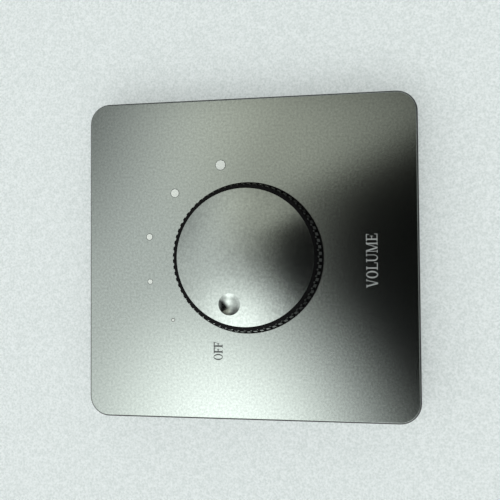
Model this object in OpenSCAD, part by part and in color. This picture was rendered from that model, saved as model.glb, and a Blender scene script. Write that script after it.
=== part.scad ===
// Wall volume control for loudspeaker lines. A fluted knob turns a stepped switch behind a
// flat aluminium plate. The cover clips over a yoke that is screwed to the wall box, and a
// board behind the yoke carries the switch, a tapped transformer and a terminal block.
// Pieces are drawn lying on the wall: x right, y up, z out of the wall, wall face at z = 0.
// upright() then stands each piece up, so the front faces -Y and +Z is up.

/* [Cover] */
// Width of the cover
cover_w = 86; // [84:0.5:92]
// Height of the cover
cover_h = 89; // [86:0.5:95]
// Radius of the cover's corners
corner_r = 5.5; // [4:0.5:8]
// Depth of the cover from the wall to its rim
cover_depth = 8.4; // [8:0.1:12]
// Thickness of the cover's side walls
cover_wall = 1.8; // [1.2:0.1:2.2]
// Thickness of the cover's front web
web_t = 1.5; // [1:0.1:1.8]
// Width of the dark rim left round the front plate
rim_w = 0.4; // [0.2:0.1:1]
// Gap between the cover's back edge and the wall
wall_gap = 0.2; // [0.1:0.1:0.6]
// Diameter of the spanner hole in the cover's web
web_hole_d = 24; // [20:1:30]
// Thickness of the ribs under the web
web_rib_t = 1.4; // [1:0.1:2]
// Width of a snap tongue
tongue_w = 9; // [6:1:12]
// Thickness of a snap tongue
tongue_t = 1.1; // [0.8:0.1:1.4]
// Reach of a snap tongue's hook under its catch
hook_reach = 0.7; // [0.5:0.1:0.9]
// Height of a snap tongue's hook
hook_h = 1.4; // [1:0.1:1.6]
// Sideways place of the snap tongues
tongue_x = 22; // [16:1:26]
// Width of the lifting notch in the bottom edge
notch_w = 10; // [6:1:14]
// Height of the lifting notch
notch_h = 1.6; // [1:0.1:2.5]

/* [Front plate] */
// Thickness of the aluminium plate
plate_t = 1.5; // [1:0.1:2]
// Rounding of the plate's front edge
plate_edge_r = 0.15; // [0.1:0.05:0.8]
// Depth of the plate's seat in the cover
plate_sink = 0.9; // [0.5:0.1:1]
// Diameter of the plate's hole behind the knob
plate_hole_d = 17; // [16:1:24]
// Thickness of the bonding film under the plate
film_t = 0.2; // [0.1:0.05:0.3]

/* [Knob] */
// Gap between the plate and the knob
knob_gap = 0.8; // [0.4:0.1:1.5]
// Height of the black knob body
knob_h = 5.4; // [5:0.1:12]
// Radius of the plain band at the knob's foot
knob_foot_r = 20; // [19.5:0.1:24]
// Height of that plain band
knob_band = 0.7; // [0.5:0.1:1]
// Radius at the foot of the fluted cone
knob_low_r = 19.8; // [19.2:0.1:23]
// Radius of the plain rim round the cap
knob_top_r = 18.7; // [18.5:0.1:19]
// Height of that rim over the flutes
knob_rim_h = 0.6; // [0.4:0.1:1]
// Width of the ledge between the rim and the flutes
flute_ledge = 0.1; // [0.05:0.05:0.2]
// Number of flutes round the knob
flutes = 72; // [36:6:80]
// Width of one flute
flute_w = 0.9; // [0.7:0.05:1.3]
// Depth of one flute
flute_depth = 0.32; // [0.2:0.02:0.4]
// Thickness of the knob's skirt behind the flutes
skirt_t = 1.5; // [1:0.1:2]
// Thickness of the knob's web under the cap
knob_web = 1.2; // [0.8:0.1:1.5]
// Diameter of the knob's hub
hub_d = 11; // [10:0.5:13]
// Number of ribs inside the knob
knob_ribs = 6; // [3:1:8]
// Thickness of those ribs
knob_rib_t = 1.2; // [0.8:0.1:1.6]
// Radius of the aluminium cap
cap_r = 18; // [16:0.1:18.1]
// Thickness of the aluminium cap at its edge
cap_t = 1.5; // [1.3:0.1:2.2]
// Height of the cap's dome over its edge
cap_dome = 0.68; // [0.4:0.04:1]
// Radius of the flat that the lathe leaves in the dome's middle
cap_flat_r = 0.6; // [0.4:0.1:1]
// Depth of the cap's seat in the knob
cap_sink = 1.5; // [1:0.1:1.8]
// Bevel round the cap's edge
cap_bevel = 0.1; // [0.05:0.05:0.5]
// Diameter of the finger dimple
dimple_d = 5.8; // [4:0.2:7]
// Depth of the finger dimple
dimple_depth = 0.45; // [0.3:0.05:0.8]
// Distance of the dimple from the knob's axis
dimple_at = 12.7; // [9:0.1:14]
// Angle of the dimple at the off position, from the right
off_angle = 162; // [150:1:175]

/* [Shaft] */
// Diameter of the shaft
shaft_d = 6; // [5:0.5:6.5]
// Depth of the flat on the shaft
flat_depth = 1.5; // [1:0.1:2]
// Diameter of the collar behind the bush
collar_d = 8.4; // [7.5:0.1:9]
// Thickness of that collar
collar_t = 0.8; // [0.6:0.1:1.2]
// Side of the square that drives the rotor
drive_w = 4.2; // [3.5:0.1:4.4]
// Diameter of the tail pivot
pivot_d = 3; // [2:0.1:3.2]
// Length of the tail pivot inside the base
pivot_l = 1.4; // [1:0.1:1.8]
// Diameter of the groove for the retaining clip
groove_d = 4.8; // [4.2:0.1:4.9]
// Thickness of the retaining clip
ring_t = 0.6; // [0.4:0.1:1]
// Outside diameter of the retaining clip
ring_d = 9; // [8:0.5:11]
// Thickness of the leaf spring in the knob's hub
leaf_t = 0.4; // [0.3:0.1:0.6]
// Width of that leaf spring
leaf_w = 3.4; // [2.5:0.1:4]

/* [Bush and nut] */
// Diameter of the bush's barrel
bush_d = 9; // [8.5:0.5:10]
// Thickness of the bush's flange
flange_t = 1.6; // [1.2:0.1:2.5]
// Length of barrel standing out of the nut
bush_proud = 0.6; // [0.3:0.1:1.5]
// Width of the nut across its flats
nut_af = 12; // [11.5:0.5:14]
// Thickness of the nut
nut_t = 2.4; // [2:0.1:3]
// Thickness of the lock washer
washer_t = 0.6; // [0.4:0.1:1]
// Outside diameter of the lock washer
washer_d = 14; // [13:0.5:16]
// Number of teeth on the lock washer
washer_teeth = 10; // [6:1:12]
// Diameter of the pip that stops the bush turning
pip_d = 2.2; // [1.5:0.1:3]

/* [Rotary switch] */
// Outside radius of the switch
case_r = 14; // [13.6:0.1:15]
// Inside radius of the switch
case_bore_r = 10.4; // [10:0.1:10.6]
// Steps that the switch makes from off
steps = 5; // [3:1:8]
// Angle of one step
step_angle = 30; // [30:15:45]
// Radius of a detent notch
notch_r = 1; // [0.7:0.1:1.2]
// Diameter of a detent ball
ball_d = 3; // [2.6:0.1:3.2]
// Thickness of the rotor's stop
stop_t = 1.5; // [1.2:0.1:2]
// Radius of the rotor behind its stop lug
stop_r = 6.4; // [5.5:0.1:7]
// Angle that the stop lug covers
lug_angle = 20; // [12:1:24]
// Thickness of the rotor's main part
rotor_t = 4.6; // [4.4:0.1:6]
// Wall between the shaft's square and a spring bore
seat_wall = 1; // [0.8:0.1:1.2]
// Wire diameter of a detent spring
spring_wire = 0.34; // [0.25:0.01:0.4]
// Turns of a detent spring
spring_turns = 4; // [3:1:6]
// Thickness of the bronze wiper
wiper_t = 0.35; // [0.25:0.05:0.5]
// Height of the wiper's contact bumps
bump_h = 0.7; // [0.5:0.1:1]
// Radius of the circle of fixed contacts
contact_r = 7.6; // [7.2:0.1:8]
// Width of a fixed contact
contact_w = 2.4; // [1.6:0.1:2.8]
// Height of a fixed contact over the base
contact_h = 0.3; // [0.2:0.05:0.5]
// Radius at the middle of the common ring
common_r = 4.3; // [4:0.1:4.6]
// Width of the common ring
common_w = 1.4; // [1:0.1:1.6]
// Thickness of the switch's base
base_t = 2.2; // [2:0.1:3]
// Diameter of a solder pin
pin_d = 0.9; // [0.6:0.1:1]
// Diameter of a case rivet
rivet_d = 2; // [1.5:0.1:2.2]
// Diameter of a case rivet's head
rivet_head_d = 3.2; // [2.6:0.1:3.4]
// Thickness of a case rivet's head
rivet_head_h = 0.6; // [0.4:0.1:0.8]
// Wall round a rivet's hole
rivet_wall = 0.4; // [0.3:0.05:0.45]

/* [Yoke] */
// Thickness of the yoke's plate
yoke_t = 2; // [1.6:0.1:2.6]
// Space between the yoke and the cover's wall
yoke_gap = 2.2; // [2:0.1:3]
// Thickness of the yoke's rim
yoke_rim_t = 1.6; // [1.2:0.1:2]
// Height of the yoke's ribs
yoke_rib_h = 1.4; // [0.8:0.1:1.5]
// Thickness of the yoke's ribs
yoke_rib_t = 1.6; // [1.2:0.1:2]
// Reach of a snap catch on the rim
catch_reach = 0.9; // [0.7:0.1:1]
// Distance between the wall box screws
box_spacing = 60.3; // [58:0.1:62]
// Width of a box screw slot
slot_w = 4.5; // [4:0.1:5]
// Length of a box screw slot
slot_l = 8; // [6:0.5:9]
// Width of the flat pad round a box screw slot
pad_edge = 3.5; // [3:0.5:4]
// Diameter of a board post
post_d = 5.6; // [5:0.1:7]
// Depth of the fields in the yoke's back
field_sink = 0.5; // [0.3:0.1:0.8]
// Width of the flat border round those fields
field_edge = 4; // [3:0.5:6]

/* [Board] */
// Width of the board
board_w = 48; // [46:1:50]
// Height of the board
board_h = 72; // [70:1:74]
// Thickness of the board
board_t = 1.6; // [1:0.1:2]
// Radius of the board's corners
board_corner_r = 2; // [1:0.5:4]
// Distance of a post from the board's edges
post_inset = 4.5; // [4:0.5:6]
// Diameter of a board screw
board_screw_d = 2.5; // [2:0.1:3]
// Length of thread in a post
board_screw_l = 6; // [4:0.5:9]
// Diameter of a screw head
head_d = 5; // [4.5:0.1:5.5]
// Height of a screw head
head_h = 1.8; // [1.4:0.1:2.2]
// Length of pin standing out of the solder
pin_proud = 1.2; // [0.8:0.1:1.5]

/* [Transformer] */
// Length of the laminated core
core_l = 35; // [33:0.5:38]
// Width of the laminated core
core_w = 29.5; // [29:0.5:32]
// Thickness of the stack of laminations
core_stack = 10; // [9:0.5:12]
// Width of the core's middle leg
leg_w = 10; // [9:0.5:11]
// Width of the core's outer legs and yokes
yoke_leg_w = 5; // [4.8:0.1:5.5]
// Distance of the transformer's middle above the shaft
core_y = 3; // [2:0.5:6]
// Thickness of the bobbin's tube
tube_t = 0.8; // [0.6:0.1:1]
// Thickness of the bobbin's flanges
bob_flange_t = 1; // [0.8:0.1:1.2]
// Depth of winding on each side of the stack
wind_h = 5; // [4:0.1:6]
// Corner radius of the winding
wind_corner_r = 3; // [1:0.5:4]
// Thickness of the tape round the winding
tape_t = 0.35; // [0.2:0.05:0.5]
// Height of the bobbin's flanges over the tape
flange_over = 0.5; // [0.3:0.1:1]
// Width of a pin rail under the core
rail_w = 3.6; // [3:0.1:4]
// Height of a pin rail
rail_h = 2.6; // [2:0.1:3.5]
// Clearance of the bobbin's flanges over the board
bob_stand = 1.6; // [1.4:0.1:2.2]
// Pins on each rail
rail_pins = 4; // [3:1:4]
// Distance between rail pins
rail_pitch = 5; // [4:0.5:5.5]
// Diameter of a core bolt
bolt_d = 3; // [2.5:0.1:3]
// Outside diameter of a core spacer
spacer_d = 5; // [4.6:0.1:5.2]
// Width of a core nut across its flats
core_nut_af = 5.5; // [5:0.1:6]
// Height of a core nut
core_nut_h = 2.4; // [2:0.1:2.8]

/* [Terminal block] */
// Number of terminals
ways = 4; // [2:1:5]
// Distance between terminals
pitch = 5.08; // [5:0.01:5.2]
// Depth of the block over the board
term_d = 10; // [9.5:0.5:12]
// Height of the block over the board
term_h = 12; // [12:0.5:15]
// Distance of the block from the board's bottom edge
term_edge = 0.6; // [0.2:0.1:1.5]
// Wall outside the first and last terminals
term_side = 0.3; // [0.2:0.1:1]
// Width of the seam between two terminals
seam_w = 0.4; // [0.2:0.1:0.6]
// Depth of that seam
seam_depth = 0.3; // [0.2:0.1:0.5]
// Diameter of a wire entry
entry_d = 3.4; // [3:0.1:3.5]
// Height of the wire entries over the board
entry_h = 4.6; // [4.4:0.1:5.2]
// Outside width of a clamp cage
cage_w = 4.2; // [4.1:0.05:4.3]
// Depth of a clamp cage
cage_d = 5; // [4.5:0.1:5.4]
// Wall of a clamp cage
cage_t = 0.35; // [0.25:0.05:0.35]
// Height of a clamp cage
cage_h = 5.4; // [5:0.1:5.6]
// Diameter of a clamp screw's head
clamp_head_d = 3.7; // [3.2:0.1:3.8]
// Height of a clamp screw's head
clamp_head_h = 1.8; // [1.4:0.1:2]
// Diameter of a clamp screw's thread
clamp_d = 2.5; // [2:0.1:2.8]
// Length of thread inside the cage
clamp_in = 0.5; // [0.3:0.1:0.8]

/* [Hidden] */
$fn = 64;
// Facets round the whole circle that the cap's dome is a small part of
dome_facets = 720;
// Clearance of pieces that are fitted together and stay still
fit_gap = 0.1;
// Clearance round a turning shaft, on the radius
run_gap = 0.05;
// Clearance between flat faces that slide past each other
slide_gap = 0.15;
// Clearance between pieces that pass each other
move_gap = 0.3;
// Overlap that makes a cut pass through a face
cut = 1;
// How far joined shapes of one piece run into each other
join = 0.2;

// Levels in front of the wall
plate_back = cover_depth - plate_sink;
plate_front = plate_back + plate_t;
web_top = plate_back - film_t;
web_low = web_top - web_t;
knob_low = plate_front + knob_gap;
knob_rim = knob_low + knob_h;
cap_low = knob_rim - cap_sink;
cap_edge = cap_low + cap_t;
cap_top = cap_edge + cap_dome;
knob_web_low = cap_low - knob_web;
nut_low = yoke_t + washer_t;
bush_top = nut_low + nut_t + bush_proud;
ring_low = bush_top + slide_gap;
hub_low = ring_low + ring_t + move_gap;
shaft_tip = cap_low - move_gap;

// Levels behind the wall
case_front = -flange_t;
rotor_front = case_front - slide_gap - collar_t;
stop_back = rotor_front - stop_t;
rotor_back = stop_back - rotor_t;
ball_z = stop_back - rotor_t / 2;
wiper_back = rotor_back - wiper_t;
case_back = wiper_back - bump_h - move_gap - contact_h;
base_back = case_back - base_t;
board_gap = head_h + rivet_head_h + fit_gap;
board_front = base_back - board_gap;
board_back = board_front - board_t;
bob_h = core_stack + 2 * (tube_t + wind_h + tape_t + flange_over);
core_z = board_back - bob_stand - bob_h / 2;
core_front = core_z + core_stack / 2;
core_back = core_z - core_stack / 2;

// Outlines that several pieces share
plate_w = cover_w - 2 * rim_w;
plate_h = cover_h - 2 * rim_w;
plate_corner_r = corner_r - rim_w;
yoke_w = cover_w - 2 * (cover_wall + yoke_gap);
yoke_h = cover_h - 2 * (cover_wall + yoke_gap);
yoke_corner_r = corner_r - cover_wall;
yoke_rim_top = web_low - move_gap;
yoke_rib_x = (box_spacing - slot_l) / 2 - pad_edge - yoke_rib_t;
yoke_rib_y = washer_d + 2 * pip_d;
rotor_r = case_bore_r - 3 * move_gap;
ball_at = case_bore_r - move_gap - ball_d / 2;
spring_seat = drive_w / sqrt(2) + seat_wall;
rivet_at = (case_r + case_bore_r + notch_r / 2) / 2;
rivet_turn = off_angle - 2.5 * step_angle;
travel = steps * step_angle;
window_l = core_w - 2 * yoke_leg_w;
window_w = (core_l - leg_w - 2 * yoke_leg_w) / 2;
bob_l = window_l - 2 * fit_gap;
bob_w = leg_w + 2 * window_w - 4 * fit_gap;
tube_w = leg_w + 2 * fit_gap + 2 * tube_t;
tube_h = core_stack + 2 * fit_gap + 2 * tube_t;
wind_w = bob_w - 2 * (flange_over + tape_t);
wind_z = bob_h - 2 * (flange_over + tape_t);
wind_l = bob_l - 2 * bob_flange_t - 2 * fit_gap;
rail_x = bob_l / 2 - bob_flange_t;
bolt_x = core_w / 2 - yoke_leg_w / 2;
bolt_y = core_l / 2 - yoke_leg_w / 2;
post_x = board_w / 2 - post_inset;
post_y = board_h / 2 - post_inset;
term_w = ways * pitch + 2 * term_side;
term_y = -board_h / 2 + term_edge + term_d / 2;
entry_z = board_back - entry_h;
cage_front = entry_z + entry_d / 2 + cage_t + fit_gap;
cage_back = cage_front - cage_h;
clamp_seat = cage_back - fit_gap;

// Stands a piece up from the wall: panel y becomes up and panel z points out of the wall
module upright() { rotate([90, 0, 0]) children(); }

// Disc or rod between two levels
module rod(d, low, high) {
    translate([0, 0, low]) cylinder(d = d, h = high - low);
}

// Block centred in x and y between two levels
module block(w, h, low, high) {
    translate([-w / 2, -h / 2, low]) cube([w, h, high - low]);
}

// Rectangle with round corners
module round_rect(w, h, r) {
    square([w - 2 * r, h], center = true);
    square([w, h - 2 * r], center = true);
    for (x = [-1, 1], y = [-1, 1])
        translate([x * (w / 2 - r), y * (h / 2 - r)]) circle(r);
}

// Flat outline raised between two levels
module raise(low, high) {
    translate([0, 0, low]) linear_extrude(high - low) children();
}

// Copies at the corners of a rectangle
module corners(x, y) {
    for (sx = [-1, 1], sy = [-1, 1]) translate([sx * x, sy * y, 0]) children();
}

// Copies on a circle
module ring_of(r, angles) {
    for (a = angles) rotate([0, 0, a]) translate([r, 0, 0]) children();
}

// Pie slice from one angle to another
module slice(r, from, to) {
    arc_steps = 12;
    intersection() {
        circle(r);
        polygon(concat([[0, 0]], [for (i = [0:arc_steps])
            let (a = from + (to - from) * i / arc_steps) 1.5 * r * [cos(a), sin(a)]]));
    }
}

// Cross section of a plate with its upper edges rounded
module soft_section(w, t, e) {
    translate([-w / 2, 0]) square([w, t - e]);
    translate([-w / 2 + e, 0]) square([w - 2 * e, t]);
    for (x = [-1, 1]) translate([x * (w / 2 - e), t - e]) circle(e);
}

// Plate with round corners and a rounded upper edge
module soft_plate(w, h, r, t, e) {
    rotate([90, 0, 0]) linear_extrude(h - 2 * r, center = true) soft_section(w, t, e);
    rotate([90, 0, 90]) linear_extrude(w - 2 * r, center = true) soft_section(h, t, e);
    corners(w / 2 - r, h / 2 - r) rotate_extrude() intersection() {
        soft_section(2 * r, t, e);
        square([r, t]);
    }
}

// Aluminium face plate with a softened front edge, bonded into the cover
module front_plate() {
    color("#b4b6b4") upright() difference() {
        translate([0, 0, plate_back]) soft_plate(plate_w, plate_h, plate_corner_r, plate_t, plate_edge_r);
        rod(plate_hole_d, plate_back - cut, plate_front + cut);
    }
}

// Adhesive film between the cover's web and the plate
module bonding_film() {
    film_edge = 3;
    film_w = plate_w - 2 * film_edge;
    film_h = plate_h - 2 * film_edge;
    color("#e6dfc8") upright() raise(web_top, plate_back) difference() {
        round_rect(film_w, film_h, plate_corner_r);
        circle(d = web_hole_d);
    }
}

// One snap tongue on the cover's upper edge, with a hook that points inwards
module tongue() {
    inner = yoke_h / 2 + catch_reach + fit_gap;
    hook_top = catch_low() - fit_gap;
    translate([-tongue_w / 2, inner, hook_top - hook_h])
        cube([tongue_w, tongue_t, web_low + join - hook_top + hook_h]);
    translate([-tongue_w / 2, 0, 0]) rotate([90, 0, 90]) linear_extrude(tongue_w)
        polygon([[inner + join, hook_top], [inner - hook_reach, hook_top],
            [inner, hook_top - hook_h], [inner + join, hook_top - hook_h]]);
}

// Level of the underside of the snap catches on the yoke's rim
function catch_low() = yoke_t + hook_h / 2;

// Dark moulded cover: side walls, ribbed web, seat for the plate and four snap tongues
module cover_frame() {
    rib_low = yoke_t + yoke_rib_h + move_gap;
    rib_reach = cover_h / 2 - cover_wall - yoke_gap - yoke_rim_t - 4 * move_gap;
    ring_wall = 1.6;
    color("#35373a") upright() difference() {
        union() {
            difference() {
                raise(wall_gap, cover_depth) round_rect(cover_w, cover_h, corner_r);
                raise(wall_gap - cut, web_low)
                    round_rect(cover_w - 2 * cover_wall, cover_h - 2 * cover_wall, corner_r - cover_wall);
                raise(plate_back - film_t, cover_depth + cut)
                    round_rect(plate_w + fit_gap, plate_h + fit_gap, plate_corner_r + fit_gap / 2);
            }
            rod(web_hole_d + 2 * ring_wall, rib_low, web_low + join);
            for (a = [45:90:315]) rotate([0, 0, a]) translate([web_hole_d / 2, -web_rib_t / 2, rib_low])
                cube([rib_reach - web_hole_d / 2, web_rib_t, web_low + join - rib_low]);
            for (x = [-1, 1], turn = [0, 180]) rotate([0, 0, turn]) translate([x * tongue_x, 0, 0]) tongue();
        }
        rod(web_hole_d, wall_gap, cover_depth);
        translate([0, -cover_h / 2, 0]) block(notch_w, 3 * cover_wall, wall_gap - cut, wall_gap + notch_h);
    }
}

// One snap catch on the yoke's upper rim, sloped so that the tongue rides over it
module catch() {
    face = yoke_h / 2;
    low = catch_low();
    slope = 1.2 * catch_reach;
    translate([-tongue_w / 2, 0, 0]) rotate([90, 0, 90]) linear_extrude(tongue_w)
        polygon([[face - join, low], [face + catch_reach, low],
            [face + catch_reach, low + hook_h / 3], [face - join, low + hook_h / 3 + slope]]);
}

// Slot for one wall box screw, along x
module box_slot() {
    square([slot_l - slot_w, slot_w], center = true);
    for (x = [-1, 1]) translate([x * (slot_l - slot_w) / 2, 0]) circle(d = slot_w);
}

// Raised pads round the two wall box slots
module slot_pads() {
    pad_h = slot_w + 2 * pad_edge;
    for (x = [-1, 1]) translate([x * box_spacing / 2, 0])
        round_rect(slot_l + 2 * pad_edge, pad_h, pad_h / 4);
}

// Ribs of the yoke, two along each way
module yoke_ribs(w, h) {
    for (x = [-1, 1]) translate([x * yoke_rib_x, 0]) square([yoke_rib_t, h], center = true);
    for (y = [-1, 1]) translate([0, y * yoke_rib_y]) square([w, yoke_rib_t], center = true);
}

// Sunk fields in the yoke's back, between its ribs, seats and border
module back_fields() {
    difference() {
        round_rect(yoke_w - 2 * field_edge, yoke_h - 2 * field_edge, yoke_corner_r);
        yoke_ribs(yoke_w, yoke_h);
        slot_pads();
        circle(case_r + field_edge / 2);
        corners(post_x, post_y) circle(d = post_d + field_edge);
    }
}

// Moulded yoke: screwed to the wall box, carries the switch, the board posts and the cover
module mounting_yoke() {
    pad_t = yoke_t + yoke_rib_h / 2;
    inner_w = yoke_w - 2 * yoke_rim_t;
    inner_h = yoke_h - 2 * yoke_rim_t;
    rib_run = yoke_rim_t / 2;
    color("#4a4c4e") upright() difference() {
        union() {
            raise(0, yoke_t) round_rect(yoke_w, yoke_h, yoke_corner_r);
            raise(0, yoke_rim_top) difference() {
                round_rect(yoke_w, yoke_h, yoke_corner_r);
                round_rect(inner_w, inner_h, yoke_corner_r - yoke_rim_t);
            }
            raise(yoke_t / 2, yoke_t + yoke_rib_h) yoke_ribs(inner_w + rib_run, inner_h + rib_run);
            raise(yoke_t / 2, pad_t) intersection() {
                slot_pads();
                square([yoke_w, yoke_h], center = true);
            }
            corners(post_x, post_y) rod(post_d, board_front, yoke_t / 2);
            for (x = [-1, 1], turn = [0, 180]) rotate([0, 0, turn]) translate([x * tongue_x, 0, 0]) catch();
        }
        rod(bush_d + 2 * fit_gap, -cut, yoke_rim_top);
        rotate([0, 0, off_angle]) translate([pip_at(), 0, 0]) rod(pip_d + 2 * fit_gap, -cut, yoke_rim_top);
        for (x = [-1, 1]) translate([x * box_spacing / 2, 0, 0]) raise(-cut, pad_t + cut) box_slot();
        raise(-cut, field_sink) back_fields();
        corners(post_x, post_y)
            rod(board_screw_d + fit_gap, board_front - cut, board_front + board_screw_l + move_gap);
    }
}

// Distance of the bush's pip from the shaft
function pip_at() = washer_d / 2 + pip_d;

// Shaft hole with a flat, for the knob's hub
module flatted(d, gap) {
    intersection() {
        circle(d = d + 2 * gap);
        translate([-d, -d]) square([d + d / 2 - flat_depth + gap, 2 * d]);
    }
}

// Radius of the ball that makes a dome or dimple of a given radius and height
function ball_r(r, h) = (r * r + h * h) / (2 * h);

// Cone with flutes that run out on the ledge under the rim
module fluted_cone(low, h) {
    top_r = knob_top_r + flute_ledge + flute_depth;
    lean = atan2(knob_low_r - top_r, h);
    flute_r = ball_r(flute_w / 2, flute_depth);
    difference() {
        translate([0, 0, low]) cylinder(r1 = knob_low_r, r2 = top_r, h = h);
        ring_of(knob_low_r, [for (i = [0:flutes - 1]) i * 360 / flutes])
            translate([0, 0, low]) rotate([0, -lean, 0]) translate([flute_r - flute_depth, 0, 0])
                cylinder(r = flute_r, h = h + cut);
    }
}

// Black knob: foot band, fluted cone, rim, web, hub and ribs
module knob_body() {
    hollow_r = knob_top_r - flute_depth - skirt_t;
    rib_low = knob_low + knob_band;
    color("#1b1b1c") upright() difference() {
        union() {
            difference() {
                union() {
                    rod(2 * knob_foot_r, knob_low, rib_low);
                    fluted_cone(rib_low, knob_h - knob_band - knob_rim_h);
                    rod(2 * knob_top_r, knob_low, knob_rim);
                }
                rod(2 * hollow_r, knob_low - cut, knob_web_low);
            }
            rod(hub_d, hub_low, knob_web_low + join);
            for (i = [0:knob_ribs - 1]) rotate([0, 0, i * 360 / knob_ribs])
                translate([hub_d / 2 - join, -knob_rib_t / 2, rib_low])
                    cube([hollow_r - hub_d / 2 + 2 * join, knob_rib_t, knob_web_low + join - rib_low]);
        }
        rod(2 * (cap_r + fit_gap / 2), cap_low, knob_rim + cut);
        raise(hub_low - cut, cap_low + cut) rotate([0, 0, off_angle]) flatted(shaft_d, fit_gap / 2);
        rotate([0, 0, off_angle])
            translate([shaft_d / 2 - flat_depth, -leaf_w / 2 - fit_gap, hub_low - cut])
                cube([leaf_t + 2 * fit_gap, leaf_w + 2 * fit_gap, knob_web_low - hub_low + cut]);
    }
}

// Half section of the cap: domed front with a small flat, and bevelled edge
module cap_profile(dome_r) {
    flat_z = cap_top - dome_r + sqrt(dome_r * dome_r - cap_flat_r * cap_flat_r);
    bevel_r = cap_r - cap_bevel - (flat_z - cap_edge);
    intersection() {
        polygon([[0, cap_low], [cap_r, cap_low], [cap_r, cap_edge - cap_bevel], [bevel_r, flat_z], [0, flat_z]]);
        translate([0, cap_top - dome_r]) circle(dome_r, $fn = dome_facets);
    }
}

// Turned aluminium cap with a finger dimple, cut by a ball square to the dome
module knob_cap() {
    dome_r = ball_r(cap_r, cap_dome);
    dimple_r = ball_r(dimple_d / 2, dimple_depth);
    color("#c3c5c4") upright() difference() {
        rotate_extrude() cap_profile(dome_r);
        rotate([0, 0, off_angle]) translate([0, 0, cap_top - dome_r]) rotate([0, asin(dimple_at / dome_r), 0])
            translate([0, 0, dome_r - dimple_depth + dimple_r]) rotate([90, 0, 0]) sphere(dimple_r);
    }
}

// Leaf spring that grips the flat of the shaft inside the hub
module knob_leaf() {
    color("#9a9c9e") upright() rotate([0, 0, off_angle])
        translate([shaft_d / 2 - flat_depth + fit_gap, -leaf_w / 2, hub_low])
            cube([leaf_t, leaf_w, knob_web_low - hub_low - fit_gap]);
}

// Turned shaft: flatted tip, clip groove, collar, square drive and tail pivot
module shaft() {
    color("#c9c4b4") upright() {
        difference() {
            rod(shaft_d, rotor_front, shaft_tip);
            rotate([0, 0, off_angle]) translate([shaft_d / 2 - flat_depth, -shaft_d, hub_low])
                cube([shaft_d, 2 * shaft_d, shaft_tip - hub_low + cut]);
            translate([0, 0, ring_low]) linear_extrude(ring_t) difference() {
                circle(d = shaft_d + cut);
                circle(d = groove_d);
            }
        }
        rod(collar_d, rotor_front, case_front - slide_gap);
        rotate([0, 0, off_angle]) block(drive_w, drive_w, rotor_back, rotor_front + join);
        rod(pivot_d, case_back - pivot_l, rotor_back + join);
    }
}

// Retaining clip sprung into the shaft's groove in front of the bush
module shaft_clip() {
    mouth_w = groove_d - 4 * fit_gap;
    color("#6d6f72") upright() raise(ring_low, ring_low + ring_t) difference() {
        circle(d = ring_d);
        circle(d = groove_d + fit_gap);
        translate([0, -mouth_w / 2]) square([ring_d, mouth_w]);
        for (a = [120, 240]) rotate([0, 0, a]) translate([groove_d / 2, 0]) circle(d = groove_d / 3);
    }
}

// Die-cast bush: threaded barrel, flange over the switch and a pip against turning
module switch_bush() {
    color("#a9a79f") upright() difference() {
        union() {
            raise(case_front, 0) switch_outline();
            rod(bush_d, case_front, bush_top);
            rotate([0, 0, off_angle]) translate([pip_at(), 0, 0]) rod(pip_d, case_front, yoke_t - fit_gap);
        }
        rod(shaft_d + 2 * run_gap, case_front - cut, bush_top + cut);
        ring_of(rivet_at, rivet_angles()) {
            rod(rivet_d + 2 * fit_gap, case_front - cut, cut);
            rod(rivet_head_d + 2 * fit_gap, -rivet_head_h - fit_gap, cut);
        }
    }
}

// Places of the two rivets, between detent notches
function rivet_angles() = [rivet_turn, rivet_turn + 180];

// Outline of the switch: a disc with enough wall round each rivet's hole
module switch_outline() {
    circle(case_r);
    ring_of(rivet_at, rivet_angles()) circle(d = rivet_d + 2 * fit_gap + 2 * rivet_wall);
}

// Internal-tooth lock washer under the nut
module lock_washer() {
    tooth_gap = 360 / washer_teeth;
    gullet_w = bush_d * sin(tooth_gap / 4);
    color("#8d8f91") upright() raise(yoke_t, nut_low) difference() {
        circle(d = washer_d);
        circle(d = bush_d + 2 * fit_gap);
        for (i = [0:washer_teeth - 1]) rotate([0, 0, i * tooth_gap])
            translate([0, -gullet_w / 2]) square([bush_d / 2 + (washer_d - bush_d) / 5, gullet_w]);
    }
}

// Hexagon nut with its outer corners turned off
module panel_nut() {
    nut_corner_d = nut_af / cos(30);
    nut_top = nut_low + nut_t;
    chamfer = (nut_corner_d - nut_af) / 2;
    color("#b39a55") upright() difference() {
        intersection() {
            translate([0, 0, nut_low]) cylinder(d = nut_corner_d, h = nut_t, $fn = 6);
            union() {
                rod(nut_corner_d + chamfer, nut_low, nut_top - chamfer);
                translate([0, 0, nut_top - chamfer])
                    cylinder(d1 = nut_corner_d + chamfer, d2 = nut_af - chamfer / 2, h = chamfer);
            }
        }
        rod(bush_d + fit_gap, nut_low - cut, nut_top + cut);
    }
}

// Moulded switch case: detent notches all round, and a fixed stop in front of them
module switch_case() {
    lug_room = 2;
    lug_side = lug_angle / 2 + lug_room;
    color("#2a2522") upright() difference() {
        union() {
            raise(case_back, case_front) difference() {
                switch_outline();
                circle(case_bore_r);
                ring_of(case_bore_r, [for (a = [0:step_angle:359]) off_angle + a]) circle(notch_r / 2);
            }
            raise(stop_back + move_gap, case_front) difference() {
                circle(case_bore_r + notch_r);
                circle(stop_r + move_gap);
                slice(case_r, off_angle - travel - lug_side, off_angle + lug_side);
            }
        }
        ring_of(rivet_at, rivet_angles()) rod(rivet_d + 2 * fit_gap, case_back - cut, case_front + cut);
    }
}

// Angles of the two detent balls, each over a notch
function ball_angles() = [off_angle - 90, off_angle + 90];

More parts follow.
